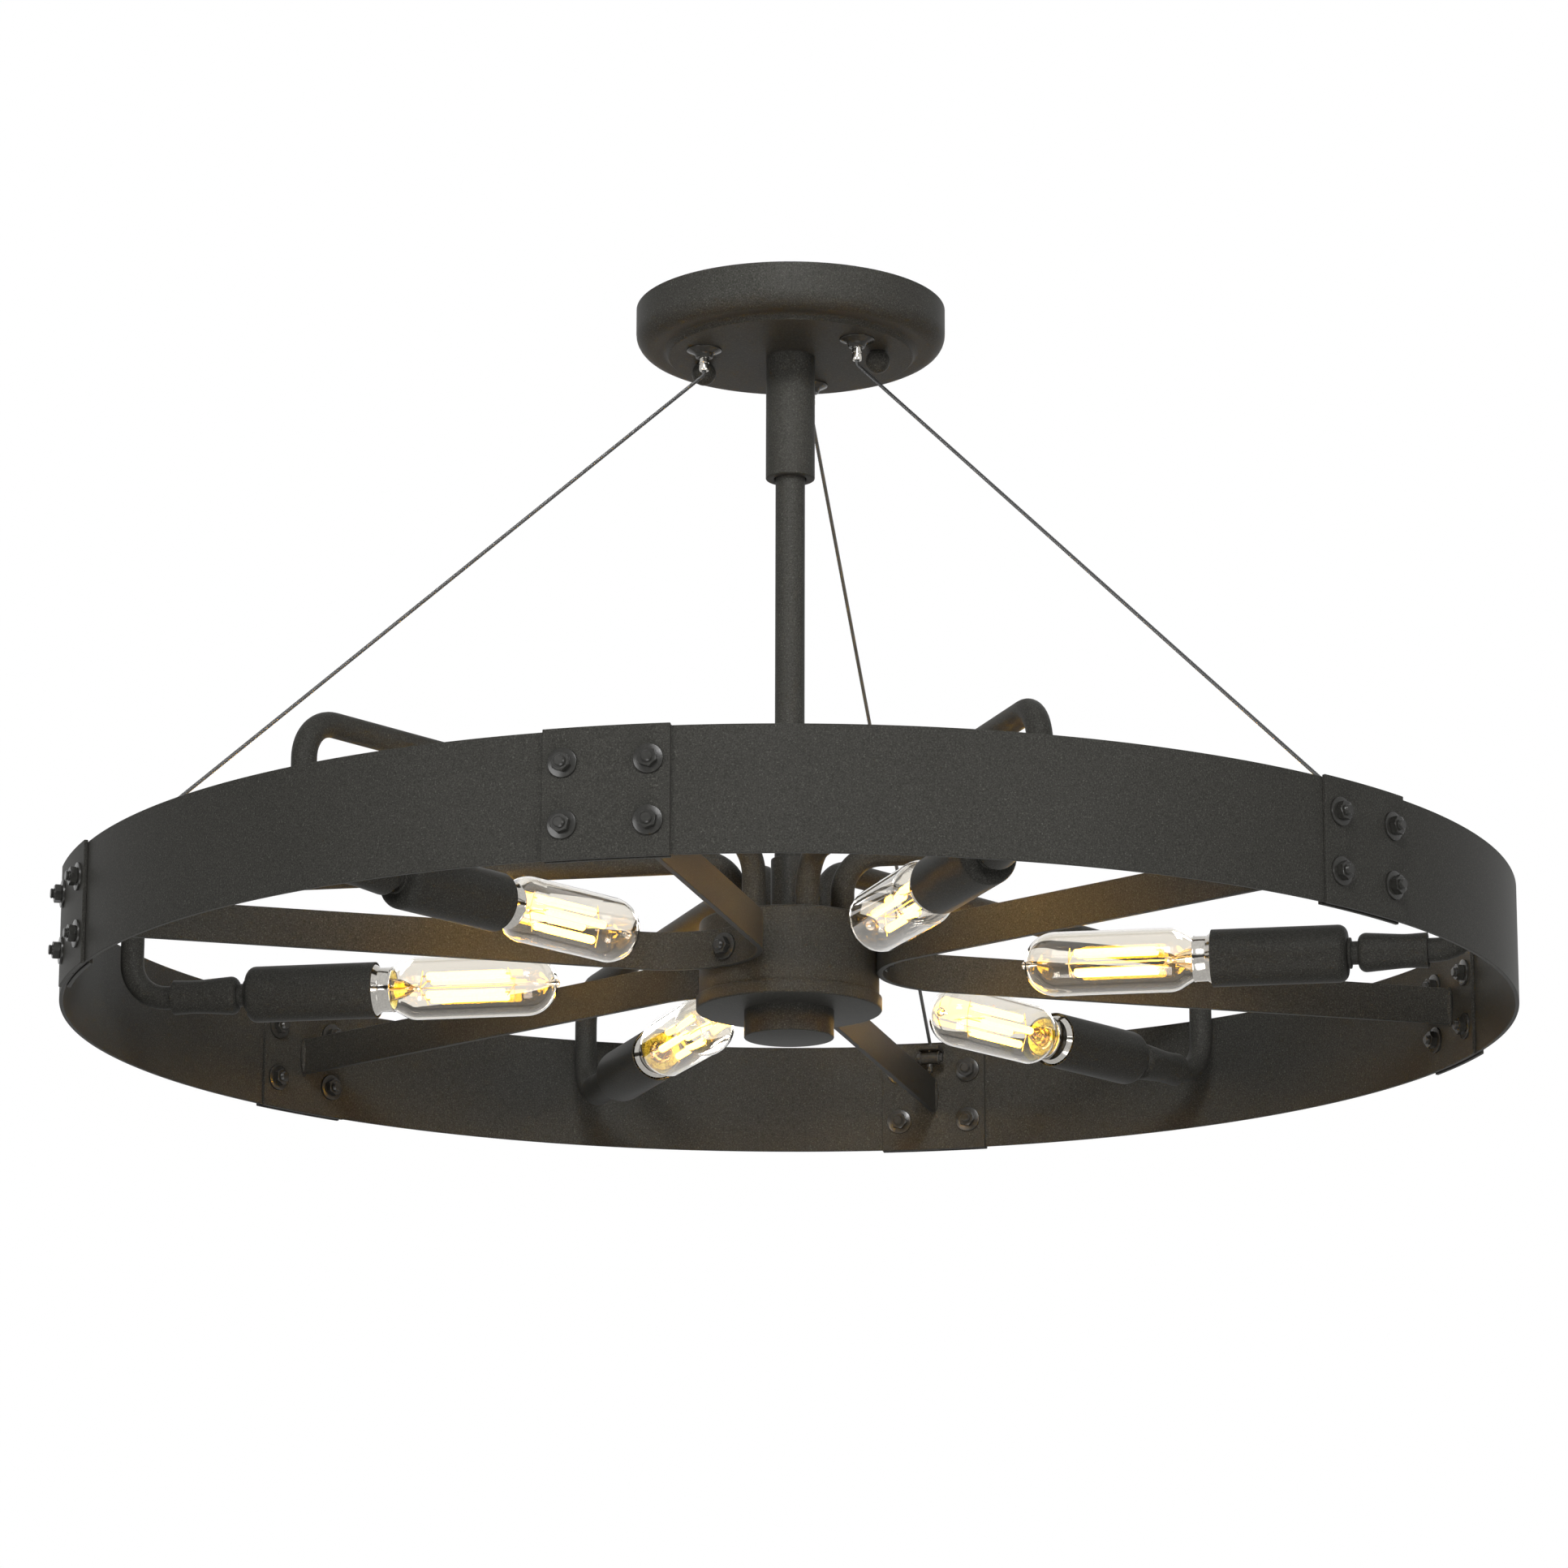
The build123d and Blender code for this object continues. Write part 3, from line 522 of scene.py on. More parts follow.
class CEILINGLIGHT_OT_canopy(bpy.types.Operator):
    """Builds the canopy pan with its two ball nuts, and gives the hidden fixings their metal"""

    bl_idname = "ceilinglight.canopy"
    bl_label = "Canopy"

    def execute(self, context):
        radius = mm(sizes().canopy_radius)
        face = -mm(sizes().canopy_depth)
        wall, rise, centre_r = 1.2, 3, 62.5
        pan = turned("canopy_pan", [
            (0, face + wall), (centre_r - wall, face + wall, 0.8), (centre_r + 0.3, face + rise + wall, 1.8),
            (radius - wall, face + rise + wall, 7.8), (radius - wall, 0), (radius, 0),
            (radius, face + rise, 9), (centre_r + 1.5, face + rise, 3), (centre_r, face, 0.8), (0, face)],
            segments=128, steps=8)
        painted(pan, "canopy")
        ball_r, foot_r, ball_drop, stud_x, steps = 6.2, 3.4, 5.185, 45.6, 16
        foot_angle = asin(foot_r / ball_r)
        for side, word in ((1, "right"), (-1, "left")):
            arc = [(foot_r, face - 0.01)]
            for step in range(1, steps + 1):
                angle = pi / 2 - foot_angle - step / steps * (pi - foot_angle)
                arc.append((ball_r * cos(angle), face - ball_drop + ball_r * sin(angle)))
            arc[-1] = (0, face - ball_drop - ball_r)
            ball = turned(f"ball_{word}", [(0, face - 0.01)] + arc, segments=40)
            place(ball, Matrix.Translation((side * stud_x * MM, 0, 0)))
            dress(ball, paint(), f"ball_nut_{word}", "black_paint", f"ball_nut_{word}")
        for node in ("mounting_strap", "strap_studs", "locknuts", "threaded_nipples"):
            hidden_metal(node, zinc())
        return {"FINISHED"}


class CEILINGLIGHT_OT_stem(bpy.types.Operator):
    """Builds the sleeve, the rod and the collar on the hub"""

    bl_idname = "ceilinglight.stem"
    bl_label = "Stem"

    def execute(self, context):
        face = -mm(sizes().canopy_depth)
        outer = mm(sizes().sleeve_radius)
        rod = mm(sizes().rod_radius)
        foot, stop, recess = face - 65, -49.7, rod + 0.6
        sleeve = turned("sleeve_tube", [
            (THREAD_BORE, face), (outer, face), (outer, foot, 0.8), (recess, foot, 0.8), (recess, stop),
            (THREAD_BORE, stop)], segments=72, closed=True)
        painted(sleeve, "stem_sleeve")
        rod_top, rod_foot = -50, -302.5
        bar = turned("rod_tube", [
            (THREAD_BORE, rod_top), (rod, rod_top), (rod, rod_foot), (THREAD_BORE, rod_foot)], segments=56,
            closed=True)
        painted(bar, "stem_rod")
        collar_r, collar_bore, collar_top, collar_step = 9.3, 7.6, -288.5, -302.4
        collar = turned("collar_turning", [
            (THREAD_BORE, HUB_TOP), (collar_r, HUB_TOP), (collar_r, collar_top, 0.8),
            (collar_bore, collar_top), (collar_bore, collar_step), (THREAD_BORE, collar_step)],
            segments=56, closed=True)
        painted(collar, "hub_collar")
        return {"FINISHED"}


class CEILINGLIGHT_OT_hub(bpy.types.Operator):
    """Builds the hub's cup, its lid and the finial"""

    bl_idname = "ceilinglight.hub"
    bl_label = "Hub"

    def execute(self, context):
        radius = mm(sizes().hub_radius)
        wall, ceiling = radius - 2, HUB_TOP - 3
        cup = turned("hub_cup", [
            (THREAD_BORE, HUB_TOP), (radius, HUB_TOP, 1.5), (radius, HUB_FOOT), (wall, HUB_FOOT),
            (wall, ceiling, 1.5), (THREAD_BORE, ceiling)], segments=112, closed=True)
        painted(cup, "hub_body")
        edge, lip, lip_wall = radius + 1.4, radius - 2.3, radius - 4.3
        lip_top, lid_floor = HUB_FOOT + 3, LID_FACE + 2
        lid = turned("lid_pressing", [
            (THREAD_BORE, LID_FACE), (edge, LID_FACE, 1.0), (edge, HUB_FOOT, 0.5), (lip, HUB_FOOT),
            (lip, lip_top), (lip_wall, lip_top), (lip_wall, lid_floor), (THREAD_BORE, lid_floor)],
            segments=112, closed=True)
        painted(lid, "hub_lid")
        knob_r, knob_foot, thread_end = 22.4, -380, -375.3
        knob = turned("finial_knob", [
            (0, knob_foot), (knob_r, knob_foot, 0.6), (knob_r, LID_FACE), (THREAD_BORE, LID_FACE),
            (THREAD_BORE, thread_end), (0, thread_end)], segments=96)
        dress(knob, paint(), "finial", "black_paint", "finial")
        return {"FINISHED"}


# Arms and sockets

class CEILINGLIGHT_OT_arms(bpy.types.Operator):
    """Builds the six bent tubes, each with the ring at its foot"""

    bl_idname = "ceilinglight.arms"
    bl_label = "Arms"

    def execute(self, context):
        radius = sizes().arm_radius
        bend = sizes().arm_bend
        riser, drop, end = 27 * MM, 341 * MM, 306.2 * MM
        run, foot = -288 * MM, -330.5 * MM
        level = sizes().lamp_level
        bpy.ops.mesh.primitive_circle_add(
            vertices=32, radius=radius, fill_type="NGON", location=(riser, 0, foot))
        arm = bpy.context.object
        arm.name = "arm_tube"
        settle()
        bpy.ops.object.mode_set(mode="EDIT")
        bpy.ops.mesh.select_mode(type="FACE")
        bpy.ops.mesh.select_all(action="SELECT")

        def turn(centre):
            bpy.ops.mesh.spin(steps=14, angle=-pi / 2, center=centre, axis=(0, 1, 0))

        extrude((0, 0, run - bend - foot))
        turn((riser + bend, 0, run - bend))
        extrude((drop - riser - 2 * bend, 0, 0))
        turn((drop - bend, 0, run - bend))
        extrude((0, 0, level + bend - (run - bend)))
        turn((drop - bend, 0, level + bend))
        extrude((-(drop - bend - end), 0, 0))
        close_up(arm, 50)
        ring_bore, ring_r, ring_top = 5.9, 7.2, -320.1
        ring = turned("arm_ring", [
            (ring_bore, HUB_TOP), (ring_r, HUB_TOP), (ring_r, ring_top, 0.4), (ring_bore, ring_top)],
            segments=40, closed=True)
        place(ring, Matrix.Translation((riser, 0, 0)))
        arm = joined("arm_bent", [arm, ring])
        for number, piece in numbered(copies(arm, arm_places()), "arm_bent"):
            self.lift_run(piece, RUN_LIFTS[number - 1], run - bend)
            painted(piece, f"arm_{number}")
        return {"FINISHED"}

    def lift_run(self, piece, lift, above):
        """Raises the run between the two upper bends, because no two arms are bent quite alike."""
        if not lift:
            return
        select_only(piece)
        bpy.ops.object.mode_set(mode="EDIT")
        bpy.ops.mesh.select_all(action="DESELECT")
        bpy.ops.object.mode_set(mode="OBJECT")
        for vertex in piece.data.vertices:
            vertex.select = vertex.co.z > above - 0.5 * MM
        bpy.ops.object.mode_set(mode="EDIT")
        bpy.ops.transform.translate(value=(0, 0, lift * MM))
        bpy.ops.object.mode_set(mode="OBJECT")


class CEILINGLIGHT_OT_sockets(bpy.types.Operator):
    """Builds the couplers with their necks, and the cups round the lampholders"""

    bl_idname = "ceilinglight.sockets"
    bl_label = "Sockets"

    def execute(self, context):
        level = mm(sizes().lamp_level)
        places = arm_places()
        bore, back, bead_end, nose, stop, tail = 4.85, 279, 280.7, 284, 306.15, 318.2
        coupler = turned("coupler", [
            (bore, back), (7.7, back, 0.42), (7.7, bead_end, 0.42), (5.8, bead_end), (5.8, nose),
            (10, nose, 3.9), (8.3, 307.2, 60), (8.8, tail, 0.2), (6.05, tail), (6.05, stop), (bore, stop)],
            segments=56, closed=True, steps=7)
        lay_outwards(coupler, level)
        group = joined("couplers", copies(coupler, places))
        painted(group, "socket_couplers")
        cup_r, cup_bore, mouth, floor = 14.25, 13.65, 212, 277.8
        sleeve = turned("socket_cup", [
            (bore, back), (cup_r, back, 4.5), (cup_r, mouth, 0.2), (cup_bore, mouth, 0.2),
            (cup_bore, floor, 3.9), (bore, floor)], segments=64, closed=True, steps=6)
        lay_outwards(sleeve, level)
        for number, piece in numbered(copies(sleeve, places), "socket_cup"):
            painted(piece, f"socket_sleeve_{number}")
        hidden_metal("lampholders", brass())
        return {"FINISHED"}


# Lamps

def glass_outline(inset, mouth):
    """The envelope's wall, drawn in by the inset: round end, straight side, cone and neck, in millimetres."""
    full, neck, foot, span = mm(sizes().glass_radius), 10.8, 203.0, 84.5
    lean, bend = radians(30), 12.0
    centre = full - bend
    straight = (centre + bend * cos(lean) - neck) / sin(lean)
    shoulder = foot - straight * cos(lean) - bend * sin(lean)
    dome = foot - span + full
    dome_steps, shoulder_steps = 16, 6
    points = []
    for step in range(dome_steps + 1):
        angle = pi / 2 * step / dome_steps
        points.append(((full - inset) * sin(angle), dome - (full - inset) * cos(angle)))
    for step in range(shoulder_steps + 1):
        angle = lean * step / shoulder_steps
        points.append((centre + (bend - inset) * cos(angle), shoulder + (bend - inset) * sin(angle)))
    last_r, last_z = points[-1]
    points.append((neck - inset, last_z + (last_r - neck + inset) / tan(lean)))
    points.append((neck - inset, mouth))
    return points


class CEILINGLIGHT_OT_lamps(bpy.types.Operator):
    """Builds the six lamps: glass, cap, glass stem, leads and lit filaments"""

    bl_idname = "ceilinglight.lamps"
    bl_label = "Lamps"

    def execute(self, context):
        lay = Matrix.Translation((0, 0, sizes().lamp_level)) @ Matrix.Rotation(pi / 2, 4, "Y")
        places = [
            turn @ lay @ Matrix.Rotation(radians(roll), 4, "Z")
            for turn, roll in zip(arm_places(), LAMP_ROLLS)]
        clear = material_of("lamp_glass", lamp_glass)
        stem_clear = material_of("stem_glass", stem_glass)
        thickness, mouth = 0.9, 208
        wall = glass_outline(0, mouth) + list(reversed(glass_outline(thickness, mouth)))
        glass = turned("envelope", wall, segments=72, angle=60)
        tip = turned("seal_tip", [
            (0, 117.2), (1.4, 117.5, 0.8), (2.3, 118.7, 0.8), (2.4, 119.8), (1.3, 122, 1.5),
            (0.7, 124.6, 0.4), (0, 124.8)], segments=24, angle=60)
        ridges = [((13.0, 12.6)[k % 2], 212 + 1.4 * k) for k in range(8)]
        cap = turned("cap", [
            (10.85, 202.9), (11.5, 202.9, 0.3), (11.5, 203.7, 0.3), (11.25, 204.1), (11.25, 209.6, 0.3)]
            + ridges + [
            (13.0, 224), (12.4, 226), (4.6, 229.6), (4.6, 231, 0.6), (0, 231), (0, 225.6), (12.2, 225.6),
            (12.2, 212.4), (10.85, 210)], segments=64, angle=40)
        stem = turned("glass_stem", [
            (0, mouth), (9.6, mouth), (9.4, 206.9), (6.6, 205.6), (5.6, 203.4), (5.2, 200, 3),
            (3.4, 195.6, 4), (1.3, 192.6, 1.5), (1.9, 190.4, 1), (1.2, 188.8, 0.6), (0, 188.6)],
            segments=40, angle=60)
        dish = turned("cap_dish", [
            (6.2, 205.0), (9.8, 203.0), (9.8, 203.8), (6.2, 205.8)], segments=64, closed=True, angle=50)
        filaments, wires = self.filaments_and_wires()
        lead = material_of("lead_wire", plated_metal, "lead_wire", (0.78, 0.60, 0.33), 0.3)
        pieces = [
            (joined("envelope", [glass, tip]), clear, "clear_glass", "bulb_glass"),
            (cap, nickel(), "nickel", "bulb_base"),
            (stem, stem_clear, "clear_glass", None),
            # The cap's inside is painted gold with the lit filaments' glow
            (dish, material_of("painted_glow_lining", painted_glow_lining), "nickel", None),
            (filaments, material_of("lit_filament", lit_filament), "nickel", None),
            (wires, lead, "nickel", None),
        ]
        for piece, material, slot, node in pieces:
            word = piece.name
            for number, one in numbered(copies(piece, places), word):
                nodes = [f"{node}_{number}"] if node else []
                dress(one, material, f"bulb_{number}", slot, *nodes)
                one.visible_shadow = material not in (clear, stem_clear)
        return {"FINISHED"}

    def wire(self, radius, start, end):
        """A thin round wire between two points, in millimetres."""
        along = Vector(end) - Vector(start)
        piece = turned("wire", [
            (0, 0), (radius, 0.05), (radius, along.length - 0.05), (0, along.length)], segments=8)
        turn = along.to_track_quat("Z", "Y").to_matrix().to_4x4()
        return place(piece, Matrix.Translation(Vector(start) * MM) @ turn)

    def filaments_and_wires(self):
        """Four lit bars about the lamp's axis, each held between a hooked lead at either end."""
        near, far, out, bar_r = 185.0, 144.0, 6.8, 1.9
        rod_r, clip_r, hook_r, lead_r = 0.3, 0.42, 0.2, 0.22
        bars = []
        wires = [self.wire(rod_r, (0, 0, far - 5), (0, 0, 190))]
        for index in range(4):
            angle = pi / 2 * (index + 0.5)
            across = Vector((cos(angle), sin(angle), 0))
            bar = turned("filament", [
                (0, far), (bar_r, far, 1.2), (bar_r, near, 1.2), (0, near)], segments=16)
            bars.append(place(bar, Matrix.Translation(across * out * MM)))
            for end, side, root in ((far, -1, far - 3.4), (near, 1, near + 4.4)):
                foot = across * out + Vector((0, 0, end - side * 0.3))
                knee = across * out + Vector((0, 0, end + side * 2.4))
                tip = across * (out + 3.2) + Vector((0, 0, end + side * 1.6))
                wires.append(self.wire(clip_r, foot, knee))
                wires.append(self.wire(hook_r, Vector((0, 0, root)), knee))
                wires.append(self.wire(hook_r, knee, tip))
            twist = Vector((cos(angle + 0.5), sin(angle + 0.5), 0))
            seal = twist * 4.4 + Vector((0, 0, 206.4))
            wires.append(self.wire(lead_r, seal, across * 1.0 + Vector((0, 0, 192))))
        return joined("filaments", bars), joined("leads", wires)


# Rim

def curved_plate(name, outer, inner, half_angle, low, high, steps):
    """A rolled plate centred on +X, sizes in millimetres and degrees."""
    start = radians(-half_angle)
    direction = Vector((cos(start), sin(start), 0))
    outline = [
        direction * radius * MM + Vector((0, 0, height * MM))
        for radius, height in ((inner, low), (outer, low), (outer, high), (inner, high))]
    obj = flat_piece(name, outline)
    bpy.ops.mesh.spin(steps=steps, angle=radians(-2 * half_angle), center=(0, 0, 0), axis=(0, 0, 1))
    return close_up(obj)


class CEILINGLIGHT_OT_rim(bpy.types.Operator):
    """Builds the six rolled bands and the plates inside and outside each joint"""

    bl_idname = "ceilinglight.rim"
    bl_label = "Rim"

    def execute(self, context):
        outer = mm(sizes().rim_radius)
        wall = mm(sizes().rim_thickness)
        level = mm(sizes().rim_level)
        half = mm(sizes().rim_height) / 2
        band_half_angle, plate_width, seat = 29.968, 58.5, 0.05
        band = curved_plate("band", outer, outer - wall, band_half_angle, level - half, level + half, 60)
        soften(band, 0.3)
        places = around([angle + 30 for angle in JOINT_ANGLES])
        for number, piece in numbered(copies(band, places), "band"):
            painted(piece, f"band_segment_{number}")
        half_angle = degrees(plate_width / 2 / outer)
        half += 0.8
        outside = curved_plate(
            "plate_outside", outer + wall, outer + seat, half_angle, level - half, level + half, 10)
        soften(outside, 0.35)
        outsides = joined("plates_outside", copies(outside, around(JOINT_ANGLES)))
        painted(outsides, "outer_plates")
        inside = curved_plate(
            "plate_inside", outer - wall - seat, outer - 2 * wall, half_angle, level - half, level + half, 10)
        soften(inside, 0.35)
        plates = copies(inside, around(JOINT_ANGLES))
        tab_thickness = 2
        foot = level + half - 4.6 - tab_thickness
        side = [(342, 3), (343, 5.4), (345, 6), (358, 6)]
        corners = [(x, -y) for x, y in side] + side[::-1]
        tab = flat_piece("cable_tab", [Vector((x, y, foot)) * MM for x, y in corners])
        extrude((0, 0, tab_thickness * MM))
        close_up(tab)
        soften(tab, 0.3, 40)
        plates += copies(tab, around(CABLE_ANGLES))
        painted(joined("plates_inside", plates), "inner_plates")
        return {"FINISHED"}


def hex_nut(name, across_flats, low, high):
    """A hexagon nut about Z with turned chamfers on both ends, millimetres."""
    corner = across_flats / 2 / cos(radians(30))
    bpy.ops.mesh.primitive_cylinder_add(
        vertices=6, radius=corner * MM, depth=(high - low) * MM, location=(0, 0, (high + low) / 2 * MM))
    nut = bpy.context.object
    nut.name = name
    settle()
    flat = across_flats / 2
    rise = (corner - flat) * 0.62
    cutter = turned("chamfer_form", [
        (0, low - 0.001), (flat * 0.97, low - 0.001), (corner + 0.01, low + rise),
        (corner + 0.01, high - rise), (flat * 0.97, high + 0.001), (0, high + 0.001)], segments=48)
    modifier = nut.modifiers.new("Chamfer", "BOOLEAN")
    modifier.operation = "INTERSECT"
    modifier.solver = "EXACT"
    modifier.object = cutter
    select_only(nut)
    bpy.ops.object.modifier_apply(modifier=modifier.name)
    select_only(cutter)
    bpy.ops.object.delete()
    return smooth(nut, 25)


def threaded_end(low, high, radius):
    """Corners of a stud's threaded end, from its root to its flat tip."""
    pitch, depth, chamfer = 0.7, 0.32, 0.45
    corners = [(radius, low)]
    level = low + 0.3
    while level < high - 0.5:
        corners += [(radius, level), (radius - depth, level + pitch / 2)]
        level += pitch
    return corners + [(radius, high - chamfer), (radius - chamfer, high), (0, high)]


class CEILINGLIGHT_OT_bolts(bpy.types.Operator):
    """Builds the joint studs with their washers and nuts, and the three bolts of the spokes"""

    bl_idname = "ceilinglight.bolts"
    bl_label = "Bolts"

    def execute(self, context):
        outer = mm(sizes().rim_radius)
        wall = mm(sizes().rim_thickness)
        level = mm(sizes().rim_level)
        low, high = outer - 2 * wall - 0.115, outer + wall
        out_end = [(BOLT_R, high + WASHER_TOP)] + threaded_end(high + NUT_TOP, high + BOLT_TIP, BOLT_R)
        in_end = [(r, low + high - z) for r, z in reversed(out_end)]
        stud = turned("stud", in_end + [
            (WASHER_R, low - WASHER_TOP, 0.25), (WASHER_R, low), (BOLT_R, low), (BOLT_R, high),
            (WASHER_R, high), (WASHER_R, high + WASHER_TOP, 0.25)] + out_end, segments=40, steps=2)
        nuts = [
            hex_nut("nut", NUT_FLATS, high + WASHER_TOP, high + NUT_TOP),
            hex_nut("nut", NUT_FLATS, low - NUT_TOP, low - WASHER_TOP)]
        bolt = lay_outwards(joined("joint_bolt", [stud] + nuts), 0)
        beside, above = 19.5, 14
        offset = degrees(beside / outer)
        places = []
        for number, joint in enumerate(JOINT_ANGLES):
            for side in (-1, 1):
                for step in (-1, 1):
                    spin = Matrix.Rotation(radians(17 * number + 31 * side + 11 * step), 4, "X")
                    lift = Matrix.Translation((0, 0, (level + step * above) * MM))
                    places.append(Matrix.Rotation(radians(joint + side * offset), 4, "Z") @ lift @ spin)
        bolts = joined("joint_bolts", copies(bolt, places))
        painted(bolts, "rim_bolts", enamel())

        seat, head, wall_face, head_r = 48.616, 39.71, 42.71, 4.5
        end = threaded_end(seat + NUT_TOP, seat + BOLT_TIP, BOLT_R)
        stud = turned("spoke_stud", [
            (0, head), (head_r, head, 0.8), (head_r, wall_face), (BOLT_R, wall_face), (BOLT_R, seat),
            (WASHER_R, seat), (WASHER_R, seat + WASHER_TOP, 0.25), (BOLT_R, seat + WASHER_TOP)] + end,
            segments=40, steps=2)
        nut = hex_nut("nut", NUT_FLATS, seat + WASHER_TOP, seat + NUT_TOP)
        bolt = lay_outwards(joined("spoke_bolt", [stud, nut]), level)
        angles = [120 * k + degrees(sizes().hub_turn) for k in range(3)]
        bolts = joined("spoke_bolt_set", copies(bolt, around(angles)))
        painted(bolts, "spoke_bolts", enamel())
        return {"FINISHED"}


class CEILINGLIGHT_OT_spokes(bpy.types.Operator):
    """Builds the three bent strips with the weld at each end"""

    bl_idname = "ceilinglight.spokes"
    bl_label = "Spokes"

    def execute(self, context):
        level = mm(sizes().rim_level)
        half_height = mm(sizes().spoke_height) / 2
        thick = 3.0
        turn_deg = degrees(sizes().hub_turn)
        middle = mm(sizes().hub_radius) + 0.05 + thick / 2
        centre = Vector((2 * middle, 0))
        inner_r = mm(sizes().rim_radius) - 2 * mm(sizes().rim_thickness)
        ends = []
        for side in (-1, 1):
            angle = radians(side * 30 - turn_deg)
            way = Vector((cos(angle), sin(angle)))
            end = way * (inner_r - 1.5)
            reach = end - centre
            tangent = atan2(reach.y, reach.x) + side * acos(middle / reach.length)
            ends.append((end, tangent, angle))
        (end, tangent, _), (last, last_tangent, _) = ends
        normal = Vector((cos(tangent), sin(tangent)))
        outline = []
        for across, up in ((-1, -1), (1, -1), (1, 1), (-1, 1)):
            point = end + normal * across * thick / 2
            outline.append(Vector((point.x, point.y, level + up * half_height)) * MM)
        strip = flat_piece("strip", outline)
        bend_start = centre + normal * middle
        bpy.ops.mesh.select_mode(type="FACE")
        bpy.ops.mesh.select_all(action="SELECT")
        run = (bend_start - end) * MM
        extrude((run.x, run.y, 0))
        sweep_angle = (last_tangent - tangent) % (2 * pi) - 2 * pi
        bpy.ops.mesh.spin(
            steps=36, angle=-sweep_angle, center=(centre.x * MM, centre.y * MM, level * MM), axis=(0, 0, 1))
        last_normal = Vector((cos(last_tangent), sin(last_tangent)))
        run = (last - centre - last_normal * middle) * MM
        extrude((run.x, run.y, 0))
        close_up(strip)
        soften(strip, 0.35)
        lumps = bpy.data.textures.new("weld_lumps", "CLOUDS")
        lumps.noise_scale = 3.5 * MM
        beads = []
        for _, _, angle in ends:
            bpy.ops.mesh.primitive_uv_sphere_add(segments=40, ring_count=28, radius=1)
            bead = bpy.context.object
            bead.name = "weld"
            tilt = Matrix.Rotation(angle, 4, "Z")
            place(bead, tilt @ Matrix.Translation(((inner_r - 1.1) * MM, 0, level * MM))
                  @ Matrix.Diagonal((2.2 * MM, 3.1 * MM, 10.6 * MM, 1)))
            apply_modifier(bead, "DISPLACE", texture=lumps, strength=0.9 * MM, mid_level=0.6)
            smooth(bead, 60)
            beads.append(bead)
        spoke = joined("spoke", [strip] + beads)
        places = around([120 * k + turn_deg for k in range(3)])
        for number, piece in numbered(copies(spoke, places), "spoke_strip"):
            painted(piece, f"spoke_{number}")
        return {"FINISHED"}


# Cables

def cable_line():
    """The cable's line at +X: down out of the nozzle, out to the rim, and down through the lock."""
    top, upper_bend, lower_bend, foot, bend = -16.8, -38.5, -313.65, -330.2, 4
    corners = [
        (CABLE_TOP_R, top), (CABLE_TOP_R, upper_bend, bend), (CABLE_FOOT_R, lower_bend, bend),
        (CABLE_FOOT_R, foot)]
    points = [Vector((p.x, 0, p.y)) for p in rounded(corners, 8)]
    line = single_vertex("cable_line")
    draw_line(points)
    bpy.ops.object.mode_set(mode="OBJECT")
    select_only(line)
    bpy.ops.object.convert(target="CURVE")
    return bpy.context.object, sum((b - a).length for a, b in zip(points, points[1:]))


